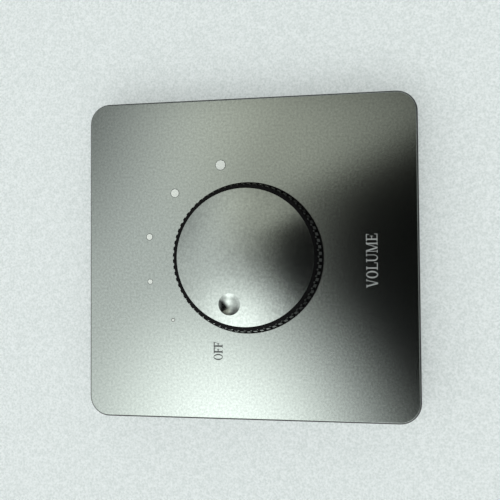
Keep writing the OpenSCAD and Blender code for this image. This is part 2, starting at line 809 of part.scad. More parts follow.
// Rotor: stop lug in front, two blind bores for the balls and springs behind
module detent_rotor() {
    color("#d9d3c0") upright() difference() {
        union() {
            raise(stop_back - join, rotor_front) {
                circle(stop_r);
                slice(case_bore_r - move_gap, off_angle - lug_angle / 2, off_angle + lug_angle / 2);
            }
            rod(2 * rotor_r, rotor_back, stop_back);
        }
        rotate([0, 0, off_angle])
            block(drive_w + fit_gap, drive_w + fit_gap, rotor_back - cut, rotor_front + cut);
        ring_of(spring_seat, ball_angles()) translate([0, 0, ball_z]) rotate([0, 90, 0])
            cylinder(d = ball_d + 2 * fit_gap, h = case_bore_r);
    }
}

// Two hardened balls, drawn pressed in to the level of the lands between the notches
module detent_balls() {
    color("#c8cacc") upright() ring_of(ball_at, ball_angles()) translate([0, 0, ball_z]) sphere(d = ball_d);
}

// Coil spring along x as one swept tube
module coil_spring(mean_r, wire_d, length, turns) {
    rings_per_turn = 10;
    sides = 6;
    rings = turns * rings_per_turn;
    points = [for (i = [0:rings], s = [0:sides - 1])
        let (a = 360 * i / rings_per_turn, b = 360 * s / sides,
            r = mean_r + wire_d / 2 * cos(b))
        [wire_d / 2 + (length - wire_d) * i / rings + wire_d / 2 * sin(b), r * cos(a), r * sin(a)]];
    skin = [for (i = [0:rings - 1], s = [0:sides - 1])
        let (p = i * sides + s, q = i * sides + (s + 1) % sides)
        each [[p, q, q + sides], [p, q + sides, p + sides]]];
    first = [for (s = [1:sides - 2]) [0, s + 1, s]];
    last = [for (s = [1:sides - 2]) [rings * sides, rings * sides + s, rings * sides + s + 1]];
    polyhedron(points, concat(skin, first, last));
}

// Two coil springs that press the balls outwards
module detent_springs() {
    spring_r = (ball_d - spring_wire) / 2 - fit_gap;
    spring_l = ball_at - ball_d / 2 - spring_seat - 2 * fit_gap;
    color("#8f9498") upright() ring_of(spring_seat + fit_gap, ball_angles()) translate([0, 0, ball_z])
        coil_spring(spring_r, spring_wire, spring_l, spring_turns);
}

// Bronze wiper under the rotor: one arm on the fixed contacts, one on the common ring
module wiper() {
    arm_w = contact_w * 0.8;
    bump_d = contact_w / 2;
    color("#b8823f") upright() rotate([0, 0, off_angle]) {
        raise(wiper_back, rotor_back) difference() {
            union() {
                circle(common_r + common_w / 2);
                translate([0, -arm_w / 2]) square([contact_r, arm_w]);
                translate([contact_r, 0]) circle(d = arm_w);
            }
            circle(d = pivot_d + 2 * fit_gap);
        }
        for (x = [contact_r, -common_r]) translate([x, 0, 0])
            rod(bump_d, wiper_back - bump_h, wiper_back + wiper_t / 2);
    }
}

// Angles of the fixed contacts, one for off and one for each step
function contact_angles() = [for (i = [0:steps]) off_angle - i * step_angle];

// Moulded base that closes the switch and stands on the board
module switch_base() {
    foot_d = 2.4;
    foot_at = (contact_r + case_r) / 2;
    color("#2a2522") upright() difference() {
        union() {
            raise(base_back, case_back) switch_outline();
            ring_of(foot_at, [45:90:315]) rod(foot_d, board_front, base_back + join);
        }
        rod(pivot_d + 2 * run_gap, case_back - pivot_l - move_gap, case_back + cut);
        ring_of(contact_r, contact_angles()) rod(pin_d + 2 * fit_gap, base_back - cut, case_back + cut);
        ring_of(common_r, [off_angle + 180]) rod(pin_d + 2 * fit_gap, base_back - cut, case_back + cut);
        ring_of(rivet_at, rivet_angles()) rod(rivet_d + 2 * fit_gap, base_back - cut, case_back + cut);
    }
}

// Round contacts on the base, each with its solder pin through the board
module fixed_contacts() {
    color("#c9a24a") upright() ring_of(contact_r, contact_angles()) {
        rod(contact_w, case_back, case_back + contact_h);
        rod(pin_d, board_back - pin_proud, case_back + contact_h / 2);
    }
}

// Common ring round the pivot, with its solder pin through the board
module common_contact() {
    color("#c9a24a") upright() {
        raise(case_back, case_back + contact_h) difference() {
            circle(common_r + common_w / 2);
            circle(common_r - common_w / 2);
        }
        ring_of(common_r, [off_angle + 180]) rod(pin_d, board_back - pin_proud, case_back + contact_h / 2);
    }
}

// Two rivets that hold bush, case and base together
module case_rivets() {
    color("#b9bbbd") upright() ring_of(rivet_at, rivet_angles()) {
        rod(rivet_head_d, -rivet_head_h, 0);
        rod(rivet_d, base_back - rivet_head_h / 2, -rivet_head_h / 2);
        rod(rivet_head_d, base_back - rivet_head_h, base_back);
    }
}

// Drilled board behind the switch
module circuit_board() {
    pin_hole_d = pin_d + 2 * fit_gap;
    color("#3f6b3a") upright() raise(board_back, board_front) difference() {
        round_rect(board_w, board_h, board_corner_r);
        ring_of(contact_r, contact_angles()) circle(d = pin_hole_d);
        ring_of(common_r, [off_angle + 180]) circle(d = pin_hole_d);
        corners(post_x, post_y) circle(d = board_screw_d + 4 * fit_gap);
        translate([0, core_y]) corners(bolt_x, bolt_y) circle(d = bolt_d + 2 * fit_gap);
        translate([0, core_y]) rail_places() circle(d = pin_hole_d);
        translate([0, term_y]) term_places() circle(d = pin_hole_d);
    }
}

// Pan head screw pointing along z, head seat at level 0
module pan_screw(d, length) {
    slot_depth = head_h / 2;
    difference() {
        union() {
            rod(d, 0, length);
            translate([0, 0, -head_h / 2]) cylinder(d = head_d, h = head_h / 2);
            translate([0, 0, -head_h]) cylinder(d1 = head_d * 0.7, d2 = head_d, h = head_h / 2);
        }
        for (a = [0, 90]) rotate([0, 0, a])
            block(head_d / 2, head_d / 8, -head_h - cut, slot_depth - head_h);
    }
}

// Four screws that hold the board on the yoke's posts
module board_screws() {
    color("#b5b7ba") upright() corners(post_x, post_y)
        translate([0, 0, board_back]) pan_screw(board_screw_d, board_t + board_screw_l);
}

// Stack of E and I laminations with its two windows and four bolt holes
module transformer_core() {
    color("#5a5c60") upright() translate([0, core_y, 0]) raise(core_back, core_front) difference() {
        square([core_w, core_l], center = true);
        for (y = [-1, 1]) translate([0, y * (leg_w + window_w) / 2])
            square([window_l, window_w], center = true);
        corners(bolt_x, bolt_y) circle(d = bolt_d + 2 * fit_gap);
    }
}

// Places of the pins on both bobbin rails
module rail_places() {
    for (x = [-1, 1], i = [0:rail_pins - 1])
        translate([x * (rail_x + rail_w / 2), (i - (rail_pins - 1) / 2) * rail_pitch, 0]) children();
}

// Moulded bobbin: square tube, two flanges and a pin rail under each end of the core
module bobbin() {
    rail_l = (rail_pins - 1) * rail_pitch + rail_w;
    color("#e3dcc9") upright() translate([0, core_y, 0]) difference() {
        union() {
            translate([0, 0, core_z]) rotate([90, 0, 90]) linear_extrude(bob_l, center = true)
                square([tube_w, tube_h], center = true);
            for (x = [-1, 1]) translate([x * (bob_l - bob_flange_t) / 2, 0, core_z]) rotate([90, 0, 90])
                linear_extrude(bob_flange_t, center = true) square([bob_w, bob_h], center = true);
            for (x = [-1, 1]) translate([x * (rail_x + rail_w / 2), 0, 0])
                block(rail_w, rail_l, board_back - rail_h, board_back);
        }
        translate([0, 0, core_z]) rotate([90, 0, 90]) linear_extrude(bob_l + cut, center = true)
            square([leg_w + 2 * fit_gap, core_stack + 2 * fit_gap], center = true);
        rail_places() rod(pin_d, board_back - rail_h - cut, board_back + cut);
        translate([0, -core_y, 0]) ring_of(contact_r, contact_angles())
            rod(pin_d + 2 * move_gap, board_back - pin_proud - move_gap, board_back + cut);
    }
}

// Cross section of the wound coil, rounded where the wire turns the corners
module wound(grow) {
    round_rect(wind_w + 2 * grow, wind_z + 2 * grow, wind_corner_r + grow);
}

// Copper winding on the bobbin
module winding() {
    color("#a5562c") upright() translate([0, core_y, core_z]) rotate([90, 0, 90])
        linear_extrude(wind_l, center = true) difference() {
            wound(0);
            square([tube_w + fit_gap, tube_h + fit_gap], center = true);
        }
}

// Tape wrapped round the winding
module winding_tape() {
    color("#d8b23c") upright() translate([0, core_y, core_z]) rotate([90, 0, 90])
        linear_extrude(wind_l, center = true) difference() {
            wound(tape_t);
            wound(0);
        }
}

// Pins pressed into the bobbin's rails and soldered through the board
module bobbin_pins() {
    color("#c7c9cb") upright() translate([0, core_y, 0]) rail_places()
        rod(pin_d, board_back - rail_h, board_front + pin_proud);
}

// Tubes that hold the core off the board
module core_spacers() {
    color("#ddd8cc") upright() translate([0, core_y, 0]) corners(bolt_x, bolt_y) difference() {
        rod(spacer_d, core_front, board_back);
        rod(bolt_d + 2 * fit_gap, core_front - cut, board_back + cut);
    }
}

// Four bolts through the board, spacers and core
module core_bolts() {
    color("#b5b7ba") upright() translate([0, core_y, board_front]) corners(bolt_x, bolt_y) mirror([0, 0, 1])
        pan_screw(bolt_d, board_front - core_back + core_nut_h + bolt_d / 4);
}

// Four hexagon nuts behind the core
module core_nuts() {
    nuts_back = core_back - core_nut_h;
    color("#a8aaad") upright() translate([0, core_y, nuts_back]) corners(bolt_x, bolt_y) difference() {
        cylinder(d = core_nut_af / cos(30), h = core_nut_h, $fn = 6);
        rod(bolt_d + fit_gap, -cut, core_nut_h + cut);
    }
}

// Places of the terminals along the block
module term_places() {
    for (i = [0:ways - 1]) translate([(i - (ways - 1) / 2) * pitch, 0, 0]) children();
}

// Side outline of the terminal block, drawn in by an inset
module term_side_view(inset) {
    shoulder = term_h / 4;
    half = term_d / 2 - inset;
    term_back = board_back - term_h + inset;
    polygon([[-half, board_back], [half, board_back], [half, term_back + shoulder],
        [half - shoulder / 2, term_back], [shoulder / 2 - half, term_back], [-half, term_back + shoulder]]);
}

// Terminal block: screw wells behind, wire entries facing down and a seam between terminals
module terminal_block() {
    term_back = board_back - term_h;
    chamber_w = cage_w + 2 * fit_gap;
    chamber_d = cage_d + 2 * fit_gap;
    well_d = clamp_head_d + 4 * fit_gap;
    color("#2f6f55") upright() translate([0, term_y, 0]) difference() {
        translate([-term_w / 2, 0, 0]) rotate([90, 0, 90]) linear_extrude(term_w) term_side_view(0);
        for (i = [1:ways - 1]) translate([(i - ways / 2) * pitch - seam_w / 2, 0, 0])
            rotate([90, 0, 90]) linear_extrude(seam_w) difference() {
                translate([-term_d, term_back - cut]) square([2 * term_d, term_h + 2 * cut]);
                term_side_view(seam_depth);
            }
        term_places() {
            block(chamber_w, chamber_d, clamp_seat, board_back + cut);
            rod(well_d, term_back - cut, clamp_seat + cut);
            translate([0, 0, entry_z]) rotate([90, 0, 0]) cylinder(d = entry_d, h = term_d / 2 + cut);
        }
    }
}

// Steel clamp cages, open towards the wire entries and threaded behind
module terminal_cages() {
    color("#b9bcbf") upright() translate([0, term_y, 0]) term_places() difference() {
        block(cage_w, cage_d, cage_back, cage_front);
        block(cage_w - 2 * cage_t, cage_d + cut, cage_back + 2 * cage_t, cage_front - cage_t);
        rod(clamp_d + fit_gap, cage_back - cut, cage_front - cage_t);
    }
}

// Slotted clamp screws in the wells
module terminal_screws() {
    head_back = clamp_seat - clamp_head_h;
    slot_w2 = clamp_head_d / 6;
    color("#a9acaf") upright() translate([0, term_y, 0]) term_places() difference() {
        union() {
            rod(clamp_head_d, head_back, clamp_seat);
            rod(clamp_d, clamp_seat - join, cage_back + 2 * cage_t + clamp_in);
        }
        block(clamp_head_d + cut, slot_w2, head_back - cut, head_back + clamp_head_h / 2);
    }
}

// Solder pins under the cages
module terminal_pins() {
    color("#c7c9cb") upright() translate([0, term_y, 0]) term_places()
        rod(pin_d, cage_front, board_front + pin_proud);
}

front_plate();
bonding_film();
cover_frame();
mounting_yoke();
knob_body();
knob_cap();
knob_leaf();
shaft();
shaft_clip();
switch_bush();
lock_washer();
panel_nut();
switch_case();
detent_rotor();
detent_balls();
detent_springs();
wiper();
switch_base();
fixed_contacts();
common_contact();
case_rivets();
circuit_board();
board_screws();
transformer_core();
bobbin();
winding();
winding_tape();
bobbin_pins();
core_spacers();
core_bolts();
core_nuts();
terminal_block();
terminal_cages();
terminal_screws();
terminal_pins();
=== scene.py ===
# Wall volume control, in metres: +Z up, the front faces -Y, the wall's face is at y = 0.
import math

import bpy
from mathutils import Matrix, Vector


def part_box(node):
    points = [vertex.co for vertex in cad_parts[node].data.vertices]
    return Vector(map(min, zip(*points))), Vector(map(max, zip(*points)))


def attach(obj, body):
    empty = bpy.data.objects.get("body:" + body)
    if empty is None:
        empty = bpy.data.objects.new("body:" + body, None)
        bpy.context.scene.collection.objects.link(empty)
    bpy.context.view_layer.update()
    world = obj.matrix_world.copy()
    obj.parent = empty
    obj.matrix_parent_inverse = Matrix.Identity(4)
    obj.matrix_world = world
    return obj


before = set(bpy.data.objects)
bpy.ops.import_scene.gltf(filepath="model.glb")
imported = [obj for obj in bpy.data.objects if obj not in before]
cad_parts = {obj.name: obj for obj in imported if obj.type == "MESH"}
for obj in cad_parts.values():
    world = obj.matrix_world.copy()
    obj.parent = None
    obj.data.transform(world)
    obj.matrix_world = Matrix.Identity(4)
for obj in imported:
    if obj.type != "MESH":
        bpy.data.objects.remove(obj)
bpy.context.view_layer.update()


# Mounting yoke. A dark grey moulding with a rim, ribs and four board posts, screwed to the wall
# box through its two slots. Its tool was spark eroded, so the surface has a fine even grain.
mm = 0.001


class Nodes:
    """A tree of shader nodes, built one node at a time."""

    def __init__(self, owner):
        owner.use_nodes = True
        self.nodes = owner.node_tree.nodes
        self.links = owner.node_tree.links

    def add(self, kind, sockets, **settings):
        """Adds one node. A socket takes a value or another node's output."""
        node = self.nodes.new("ShaderNode" + kind)
        for setting, value in settings.items():
            setattr(node, setting, value)
        for socket, value in sockets.items():
            if isinstance(value, bpy.types.NodeSocket):
                self.links.new(value, node.inputs[socket])
            else:
                node.inputs[socket].default_value = value
        return node

    def math(self, operation, first, second=0.0):
        """Arithmetic with one or two numbers."""
        return self.add("Math", {0: first, 1: second}, operation=operation).outputs["Value"]

    def spread(self, pattern, low, high, start=0.3, end=0.7, smooth=False):
        """A pattern spread over another range of numbers."""
        sockets = {"Value": pattern, "From Min": start, "From Max": end, "To Min": low, "To Max": high}
        kind = "SMOOTHSTEP" if smooth else "LINEAR"
        return self.add("MapRange", sockets, interpolation_type=kind).outputs["Result"]

    def ramp(self, pattern, dark, light, low=0.3, high=0.7):
        """Colour between two tones."""
        node = self.add("ValToRGB", {"Fac": pattern})
        for stop, at, tone in zip(node.color_ramp.elements, (low, high), (dark, light)):
            stop.position = at
            stop.color = (*tone, 1)
        return node.outputs["Color"]


class Finish(Nodes):
    """A surface finish, with patterns from 0 to 1 in the piece's own coordinates."""

    def __init__(self, name, metallic=0.0, edge=0.0):
        self.material = bpy.data.materials.new(name)
        super().__init__(self.material)
        self.shader = self.nodes["Principled BSDF"]
        self.shader.inputs["Metallic"].default_value = metallic
        self.normal = self.add("Bevel", {"Radius": edge}, samples=6).outputs["Normal"] if edge else None

    def place(self, stretch=(1, 1, 1)):
        """The piece's own coordinates, drawn out along an axis whose number is below 1."""
        where = self.add("TexCoord", {}).outputs["Object"]
        return self.add("Mapping", {"Vector": where, "Scale": stretch}).outputs["Vector"]

    def grain(self, size, stretch=(1, 1, 1), detail=2.0):
        """Even noise whose specks have the given size."""
        sockets = {"Vector": self.place(stretch), "Scale": 1 / size, "Detail": detail}
        return self.add("TexNoise", sockets).outputs["Fac"]

    def stripes(self, pitch, axis, wander=0.0):
        """Parallel stripes across an axis, a pitch apart. Blender's own are pi / 10 apart at scale 1."""
        sockets = {"Vector": self.place(), "Scale": math.pi / (10 * pitch), "Distortion": wander}
        return self.add("TexWave", sockets, bands_direction=axis).outputs["Fac"]

    def mix(self, factor, first, second):
        """One colour over another by a factor."""
        node = self.add("Mix", {"Factor": factor}, data_type="RGBA")
        self.links.new(first, node.inputs["A"])
        self.links.new(second, node.inputs["B"])
        return node.outputs["Result"]

    def colour(self, socket):
        self.links.new(socket, self.shader.inputs["Base Color"])

    def gloss(self, pattern, smooth, rough):
        """Roughness between two values."""
        self.links.new(self.spread(pattern, smooth, rough), self.shader.inputs["Roughness"])

    def relief(self, pattern, depth):
        """Fine relief of a real depth, on top of any before it."""
        sockets = {"Height": pattern, "Distance": depth, "Strength": 1.0}
        if self.normal:
            sockets["Normal"] = self.normal
        self.normal = self.add("Bump", sockets).outputs["Normal"]
        self.links.new(self.normal, self.shader.inputs["Normal"])

    def on(self, *names):
        """Puts the finish on nodes of the frame."""
        for name in names:
            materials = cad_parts[name].data.materials
            materials.clear()
            materials.append(self.material)


yoke_grain = 0.14 * mm
yoke_dark, yoke_light = (0.070, 0.071, 0.075), (0.098, 0.099, 0.104)
yoke_finish = Finish("yoke_plastic", edge=0.15 * mm)
yoke_flow = yoke_finish.grain(6 * mm)
yoke_specks = yoke_finish.grain(yoke_grain)
yoke_finish.colour(yoke_finish.ramp(yoke_flow, yoke_dark, yoke_light))
yoke_finish.gloss(yoke_specks, smooth=0.42, rough=0.62)
yoke_finish.relief(yoke_specks, depth=0.006 * mm)
yoke_finish.on("mounting_yoke")


# Switch bush. A zinc die casting with a flange, a barrel and a pip. The skin of the casting is a
# little uneven, with cloudy grey flow marks.
bush_dark, bush_light = (0.43, 0.42, 0.40), (0.60, 0.59, 0.57)
bush_finish = Finish("die_cast", metallic=1.0)
bush_clouds = bush_finish.grain(2.2 * mm, detail=4.0)
bush_skin = bush_finish.grain(0.35 * mm)
bush_finish.colour(bush_finish.ramp(bush_clouds, bush_dark, bush_light))
bush_finish.gloss(bush_skin, smooth=0.34, rough=0.52)
bush_finish.relief(bush_skin, depth=0.010 * mm)
bush_finish.on("switch_bush")


# Switch case and base. Two phenolic mouldings, almost black with a brown filler that shows as
# cloudy flow. Rivets hold them under the bush.
case_dark, case_light = (0.020, 0.015, 0.012), (0.052, 0.038, 0.029)
case_finish = Finish("switch_plastic", edge=0.12 * mm)
case_flow = case_finish.grain(3 * mm, stretch=(1, 0.4, 1), detail=5.0)
case_specks = case_finish.grain(0.2 * mm)
case_finish.colour(case_finish.ramp(case_flow, case_dark, case_light))
case_finish.gloss(case_specks, smooth=0.30, rough=0.50)
case_finish.relief(case_specks, depth=0.004 * mm)
case_finish.on("switch_case", "switch_base")


# Shaft. Turned brass with a thin nickel skin, so fine rings from the lathe run round it. A clip in
# its groove holds it in the bush.
shaft_dark, shaft_light = (0.56, 0.51, 0.40), (0.69, 0.64, 0.52)
shaft_finish = Finish("shaft_metal", metallic=1.0)
shaft_rings = shaft_finish.grain(0.05 * mm, stretch=(0.02, 1, 0.02))
shaft_clouds = shaft_finish.grain(1.5 * mm)
shaft_finish.colour(shaft_finish.ramp(shaft_clouds, shaft_dark, shaft_light))
shaft_finish.gloss(shaft_rings, smooth=0.16, rough=0.34)
shaft_finish.relief(shaft_rings, depth=0.002 * mm)
shaft_finish.on("shaft")


# Detent rotor. Moulded from ivory acetal with a soft sheen. It carries the springs and balls and is
# driven by the square of the shaft.
rotor_dark, rotor_light = (0.60, 0.55, 0.43), (0.72, 0.67, 0.55)
rotor_finish = Finish("rotor_plastic", edge=0.1 * mm)
rotor_flow = rotor_finish.grain(2.5 * mm, detail=3.0)
rotor_finish.colour(rotor_finish.ramp(rotor_flow, rotor_dark, rotor_light))
rotor_finish.gloss(rotor_finish.grain(0.3 * mm), smooth=0.28, rough=0.42)
rotor_finish.shader.inputs["Specular IOR Level"].default_value = 0.45
rotor_finish.on("detent_rotor")


# Detent balls. Two hardened and polished bearing balls with only a trace of wear. The springs in the
# rotor press them into the notches of the case.
ball_dark, ball_light = (0.56, 0.56, 0.58), (0.66, 0.66, 0.68)
ball_finish = Finish("ball_steel", metallic=1.0)
ball_wear = ball_finish.grain(0.25 * mm, detail=5.0)
ball_finish.colour(ball_finish.ramp(ball_wear, ball_dark, ball_light))
ball_finish.gloss(ball_wear, smooth=0.05, rough=0.16)
ball_finish.on("detent_balls")


# Springs. The detent coils, the retaining clip and the knob's leaf are spring steel, blued a
# little by tempering and drawn or rolled along their length.
spring_dark, spring_light = (0.30, 0.31, 0.34), (0.46, 0.46, 0.47)
spring_finish = Finish("spring_steel", metallic=1.0)
spring_clouds = spring_finish.grain(1.2 * mm, detail=4.0)
spring_lines = spring_finish.grain(0.12 * mm, stretch=(1, 0.15, 1))
spring_finish.colour(spring_finish.ramp(spring_clouds, spring_dark, spring_light))
spring_finish.gloss(spring_lines, smooth=0.22, rough=0.42)
spring_finish.relief(spring_lines, depth=0.002 * mm)
spring_finish.on("detent_springs", "shaft_clip", "knob_leaf")


# Contacts. Wiper, fixed contacts and common ring are stamped from phosphor bronze, with darker
# tarnish in patches and brighter tracks where the wiper runs.
bronze_dark, bronze_light = (0.47, 0.28, 0.12), (0.66, 0.45, 0.22)
bronze_finish = Finish("contact_bronze", metallic=1.0)
bronze_tarnish = bronze_finish.grain(1.0 * mm, detail=6.0)
bronze_finish.colour(bronze_finish.ramp(bronze_tarnish, bronze_dark, bronze_light))
bronze_finish.gloss(bronze_tarnish, smooth=0.20, rough=0.40)
bronze_finish.on("wiper", "fixed_contacts", "common_contact")


# Lock washer, rivets, board screws and core nuts. Steel with a bright zinc plating, whose
# crystals show as a fine cool and warm mottle.
zinc_dark, zinc_light = (0.50, 0.51, 0.53), (0.66, 0.65, 0.60)
zinc_finish = Finish("plated_steel", metallic=1.0, edge=0.1 * mm)
zinc_crystals = zinc_finish.grain(0.5 * mm, detail=5.0)
zinc_specks = zinc_finish.grain(0.12 * mm)
zinc_finish.colour(zinc_finish.ramp(zinc_crystals, zinc_dark, zinc_light))
zinc_finish.gloss(zinc_specks, smooth=0.22, rough=0.40)
zinc_finish.relief(zinc_specks, depth=0.003 * mm)
zinc_finish.on("lock_washer", "case_rivets", "board_screws", "core_nuts")


# Panel nut. Turned and milled brass with fine rings from the lathe. It goes on the barrel of the
# bush and clamps the switch to the yoke.
nut_dark, nut_light = (0.58, 0.43, 0.19), (0.70, 0.55, 0.28)
nut_finish = Finish("brass_nut", metallic=1.0, edge=0.1 * mm)
nut_rings = nut_finish.grain(0.08 * mm, stretch=(0.05, 1, 0.05))
nut_clouds = nut_finish.grain(1.6 * mm)
nut_finish.colour(nut_finish.ramp(nut_clouds, nut_dark, nut_light))
nut_finish.gloss(nut_rings, smooth=0.18, rough=0.36)
nut_finish.relief(nut_rings, depth=0.003 * mm)
nut_finish.on("panel_nut")


# Circuit board. Glass cloth and resin under a green solder mask. The weave shows faintly
# through the mask, and the sawn edges are bare and straw coloured.
weave_pitch = 0.55 * mm
mask_dark = (0.020, 0.105, 0.040)
mask_light = (0.030, 0.140, 0.055)
edge_dark = (0.42, 0.38, 0.20)
edge_light = (0.55, 0.50, 0.30)
board_finish = Finish("board")
warp = board_finish.stripes(weave_pitch, "X", wander=0.6)
weft = board_finish.stripes(weave_pitch, "Z", wander=0.6)
weave = board_finish.math("MULTIPLY", warp, weft)
mask_colour = board_finish.ramp(weave, mask_dark, mask_light, low=0.0, high=1.0)
edge_colour = board_finish.ramp(board_finish.grain(0.2 * mm), edge_dark, edge_light)
facing = board_finish.add("NewGeometry", {}).outputs["True Normal"]
depth_part = board_finish.add("SeparateXYZ", {"Vector": facing}).outputs["Y"]
flat_side = board_finish.math("ABSOLUTE", depth_part)
board_finish.colour(board_finish.mix(flat_side, edge_colour, mask_colour))
board_finish.gloss(board_finish.grain(1.5 * mm), smooth=0.22, rough=0.36)
board_finish.relief(weave, depth=0.003 * mm)
board_finish.on("circuit_board")


# Tracks. Copper strips on the back of the board, under the mask, which looks paler and stands up a
# little over them. They lead from the terminal block to the transformer and round it to the switch.
track_w = 1.3 * mm
track_t = 0.06 * mm
lap_rise = 0.001 * mm
round_sides = 24
board_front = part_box("circuit_board")[0].y
board_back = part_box("circuit_board")[1].y
runs = [[(-7.62, -27), (-7.62, -23.5), (-17, -14.1), (-17, 0.5), (-10.45, 0.5)],
        [(7.62, -27), (7.62, -23.5), (17, -14.1), (17, 5.5), (10.45, 5.5)],
        [(-2.54, -27), (-2.54, -14), (-10.45, -4.5)],
        [(2.54, -27), (2.54, -14), (10.45, -4.5)],
        [(-10.45, 10.5), (-18.4, 10.5), (-18.4, 21), (-14.4, 25), (-4.6, 25), (-1.6, 22), (-1.6, 7.4)],
        [(10.45, 10.5), (18.4, 10.5), (18.4, 22.5), (13.4, 27.5), (4.8, 27.5), (2.3, 25), (2.3, 7.2)]]

track_dark, track_light = (0.045, 0.200, 0.075), (0.060, 0.245, 0.095)
track_finish = Finish("track_mask", edge=0.05 * mm)
track_haze = track_finish.grain(0.8 * mm, detail=4.0)
track_finish.colour(track_finish.ramp(track_haze, track_dark, track_light))
track_finish.gloss(track_haze, smooth=0.20, rough=0.34)
track_finish.relief(track_haze, depth=0.004 * mm)


def deselect():
    """Leaves nothing selected, so that an operator acts on the new piece alone."""
    bpy.ops.object.select_all(action="DESELECT")


def join(pieces):
    """Makes one object of several, which is then the active one."""
    deselect()
    for piece in pieces:
        piece.select_set(True)
    bpy.context.view_layer.objects.active = pieces[0]
    bpy.ops.object.join()


def settle(name, material):
    """Ends the modelling of the active object: place in its mesh, outward faces, finish and body."""
    piece = bpy.context.object
    bpy.ops.object.transform_apply(location=True, rotation=True, scale=True)
    bpy.ops.object.mode_set(mode="EDIT")
    bpy.ops.mesh.select_all(action="SELECT")
    bpy.ops.mesh.normals_make_consistent(inside=False)
    bpy.ops.object.mode_set(mode="OBJECT")
    piece.name = name
    piece.data.name = name
    piece.data.materials.clear()
    piece.data.materials.append(material)
    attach(piece, "panel")
    return piece


def pick(piece, wanted):
    """Opens a piece for editing, with only the vertices selected that a test picks out."""
    bpy.ops.object.mode_set(mode="EDIT")
    bpy.ops.mesh.select_all(action="DESELECT")
    bpy.ops.object.mode_set(mode="OBJECT")
    for vertex in piece.data.vertices:
        vertex.select = wanted(vertex.co)
    bpy.ops.object.mode_set(mode="EDIT")


def strip(path, width, height):
    """A flat strip with round ends on the back of the board, of closed bars that lap at the corners.
    Each bar is a little thicker than the one before it, so that no two of them share a face."""
    bars = []
    for lap, (start, end) in enumerate(zip(path, path[1:])):
        start, end = Vector(start) * mm, Vector(end) * mm
        run = end - start
        step = lap * lap_rise
        deselect()
        bpy.ops.mesh.primitive_circle_add(vertices=round_sides, radius=width / 2, fill_type="NGON",
                                          location=(start.x, board_back - step, start.y),
                                          rotation=(math.pi / 2, 0, 0))
        bpy.ops.object.transform_apply(location=True, rotation=True, scale=True)
        bar = bpy.context.object
        pick(bar, lambda co: (co.x - start.x) * run.x + (co.z - start.y) * run.y > 0)
        bpy.ops.transform.translate(value=(run.x, 0, run.y))
        bpy.ops.mesh.select_all(action="SELECT")
        bpy.ops.mesh.extrude_region_move(TRANSFORM_OT_translate={"value": (0, height + 2 * step, 0)})
        bpy.ops.mesh.select_all(action="SELECT")
        bpy.ops.mesh.normals_make_consistent(inside=False)
        bpy.ops.object.mode_set(mode="OBJECT")
        bars.append(bar)
    join(bars)
    return bpy.context.object


join([strip(run, track_w, track_t) for run in runs])
settle("board_tracks", track_finish.material)


# Board legend. White ink lines round the places of the transformer and the terminal block, screen
# printed over the mask.
legend_w = 0.25 * mm
legend_t = 0.03 * mm
legend_half, legend_low, legend_high = 15.7, -15.4, 21.4
block_half, block_low, block_high = 11.1, -35, -24.8
legend_frame = [(-legend_half, legend_low), (-legend_half, legend_high), (legend_half, legend_high),
                (legend_half, legend_low), (-legend_half, legend_low)]
legend_block = [(-block_half, block_low), (-block_half, block_high),
                (block_half, block_high), (block_half, block_low)]
legend_dark, legend_light = (0.66, 0.68, 0.64), (0.80, 0.81, 0.78)
legend_finish = Finish("legend_ink")
legend_specks = legend_finish.grain(0.15 * mm, detail=4.0)
legend_finish.colour(legend_finish.ramp(legend_specks, legend_dark, legend_light))
legend_finish.gloss(legend_specks, smooth=0.45, rough=0.65)
join([strip(path, legend_w, track_t + legend_t) for path in (legend_frame, legend_block)])
settle("board_legend", legend_finish.material)


# Solder joints. Each pin that comes through the board is soldered to a tinned pad with a bright
# concave fillet. The switch is soldered behind the board, the other parts in front of it.
pad_r = 1.05 * mm
pad_t = 0.04 * mm
pin_r = 0.45 * mm
tip_slack = 0.01 * mm
fillet_foot_r = 0.9 * pad_r
fillet_h = 0.75 * mm
fillet_rings = 5
fillet_smooth = math.radians(50)

solder_dark, solder_light = (0.58, 0.58, 0.59), (0.74, 0.74, 0.73)
solder_finish = Finish("solder", metallic=1.0)
solder_chill = solder_finish.grain(0.3 * mm, detail=4.0)
solder_finish.colour(solder_finish.ramp(solder_chill, solder_dark, solder_light))
solder_finish.gloss(solder_chill, smooth=0.14, rough=0.34)
solder_finish.relief(solder_chill, depth=0.008 * mm)
solder_finish.on("bobbin_pins", "terminal_pins")


def pin_centres(node, level):
    """Middles of the pins of a node that end at a level."""
    found = []
    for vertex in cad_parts[node].data.vertices:
        if abs(vertex.co.y - level) > tip_slack:
            continue
        for group in found:
            if (group[0] - vertex.co).length < pad_r:
                group.append(vertex.co)
                break
        else:
            found.append([vertex.co])
    return [sum(group, Vector()) / len(group) for group in found]


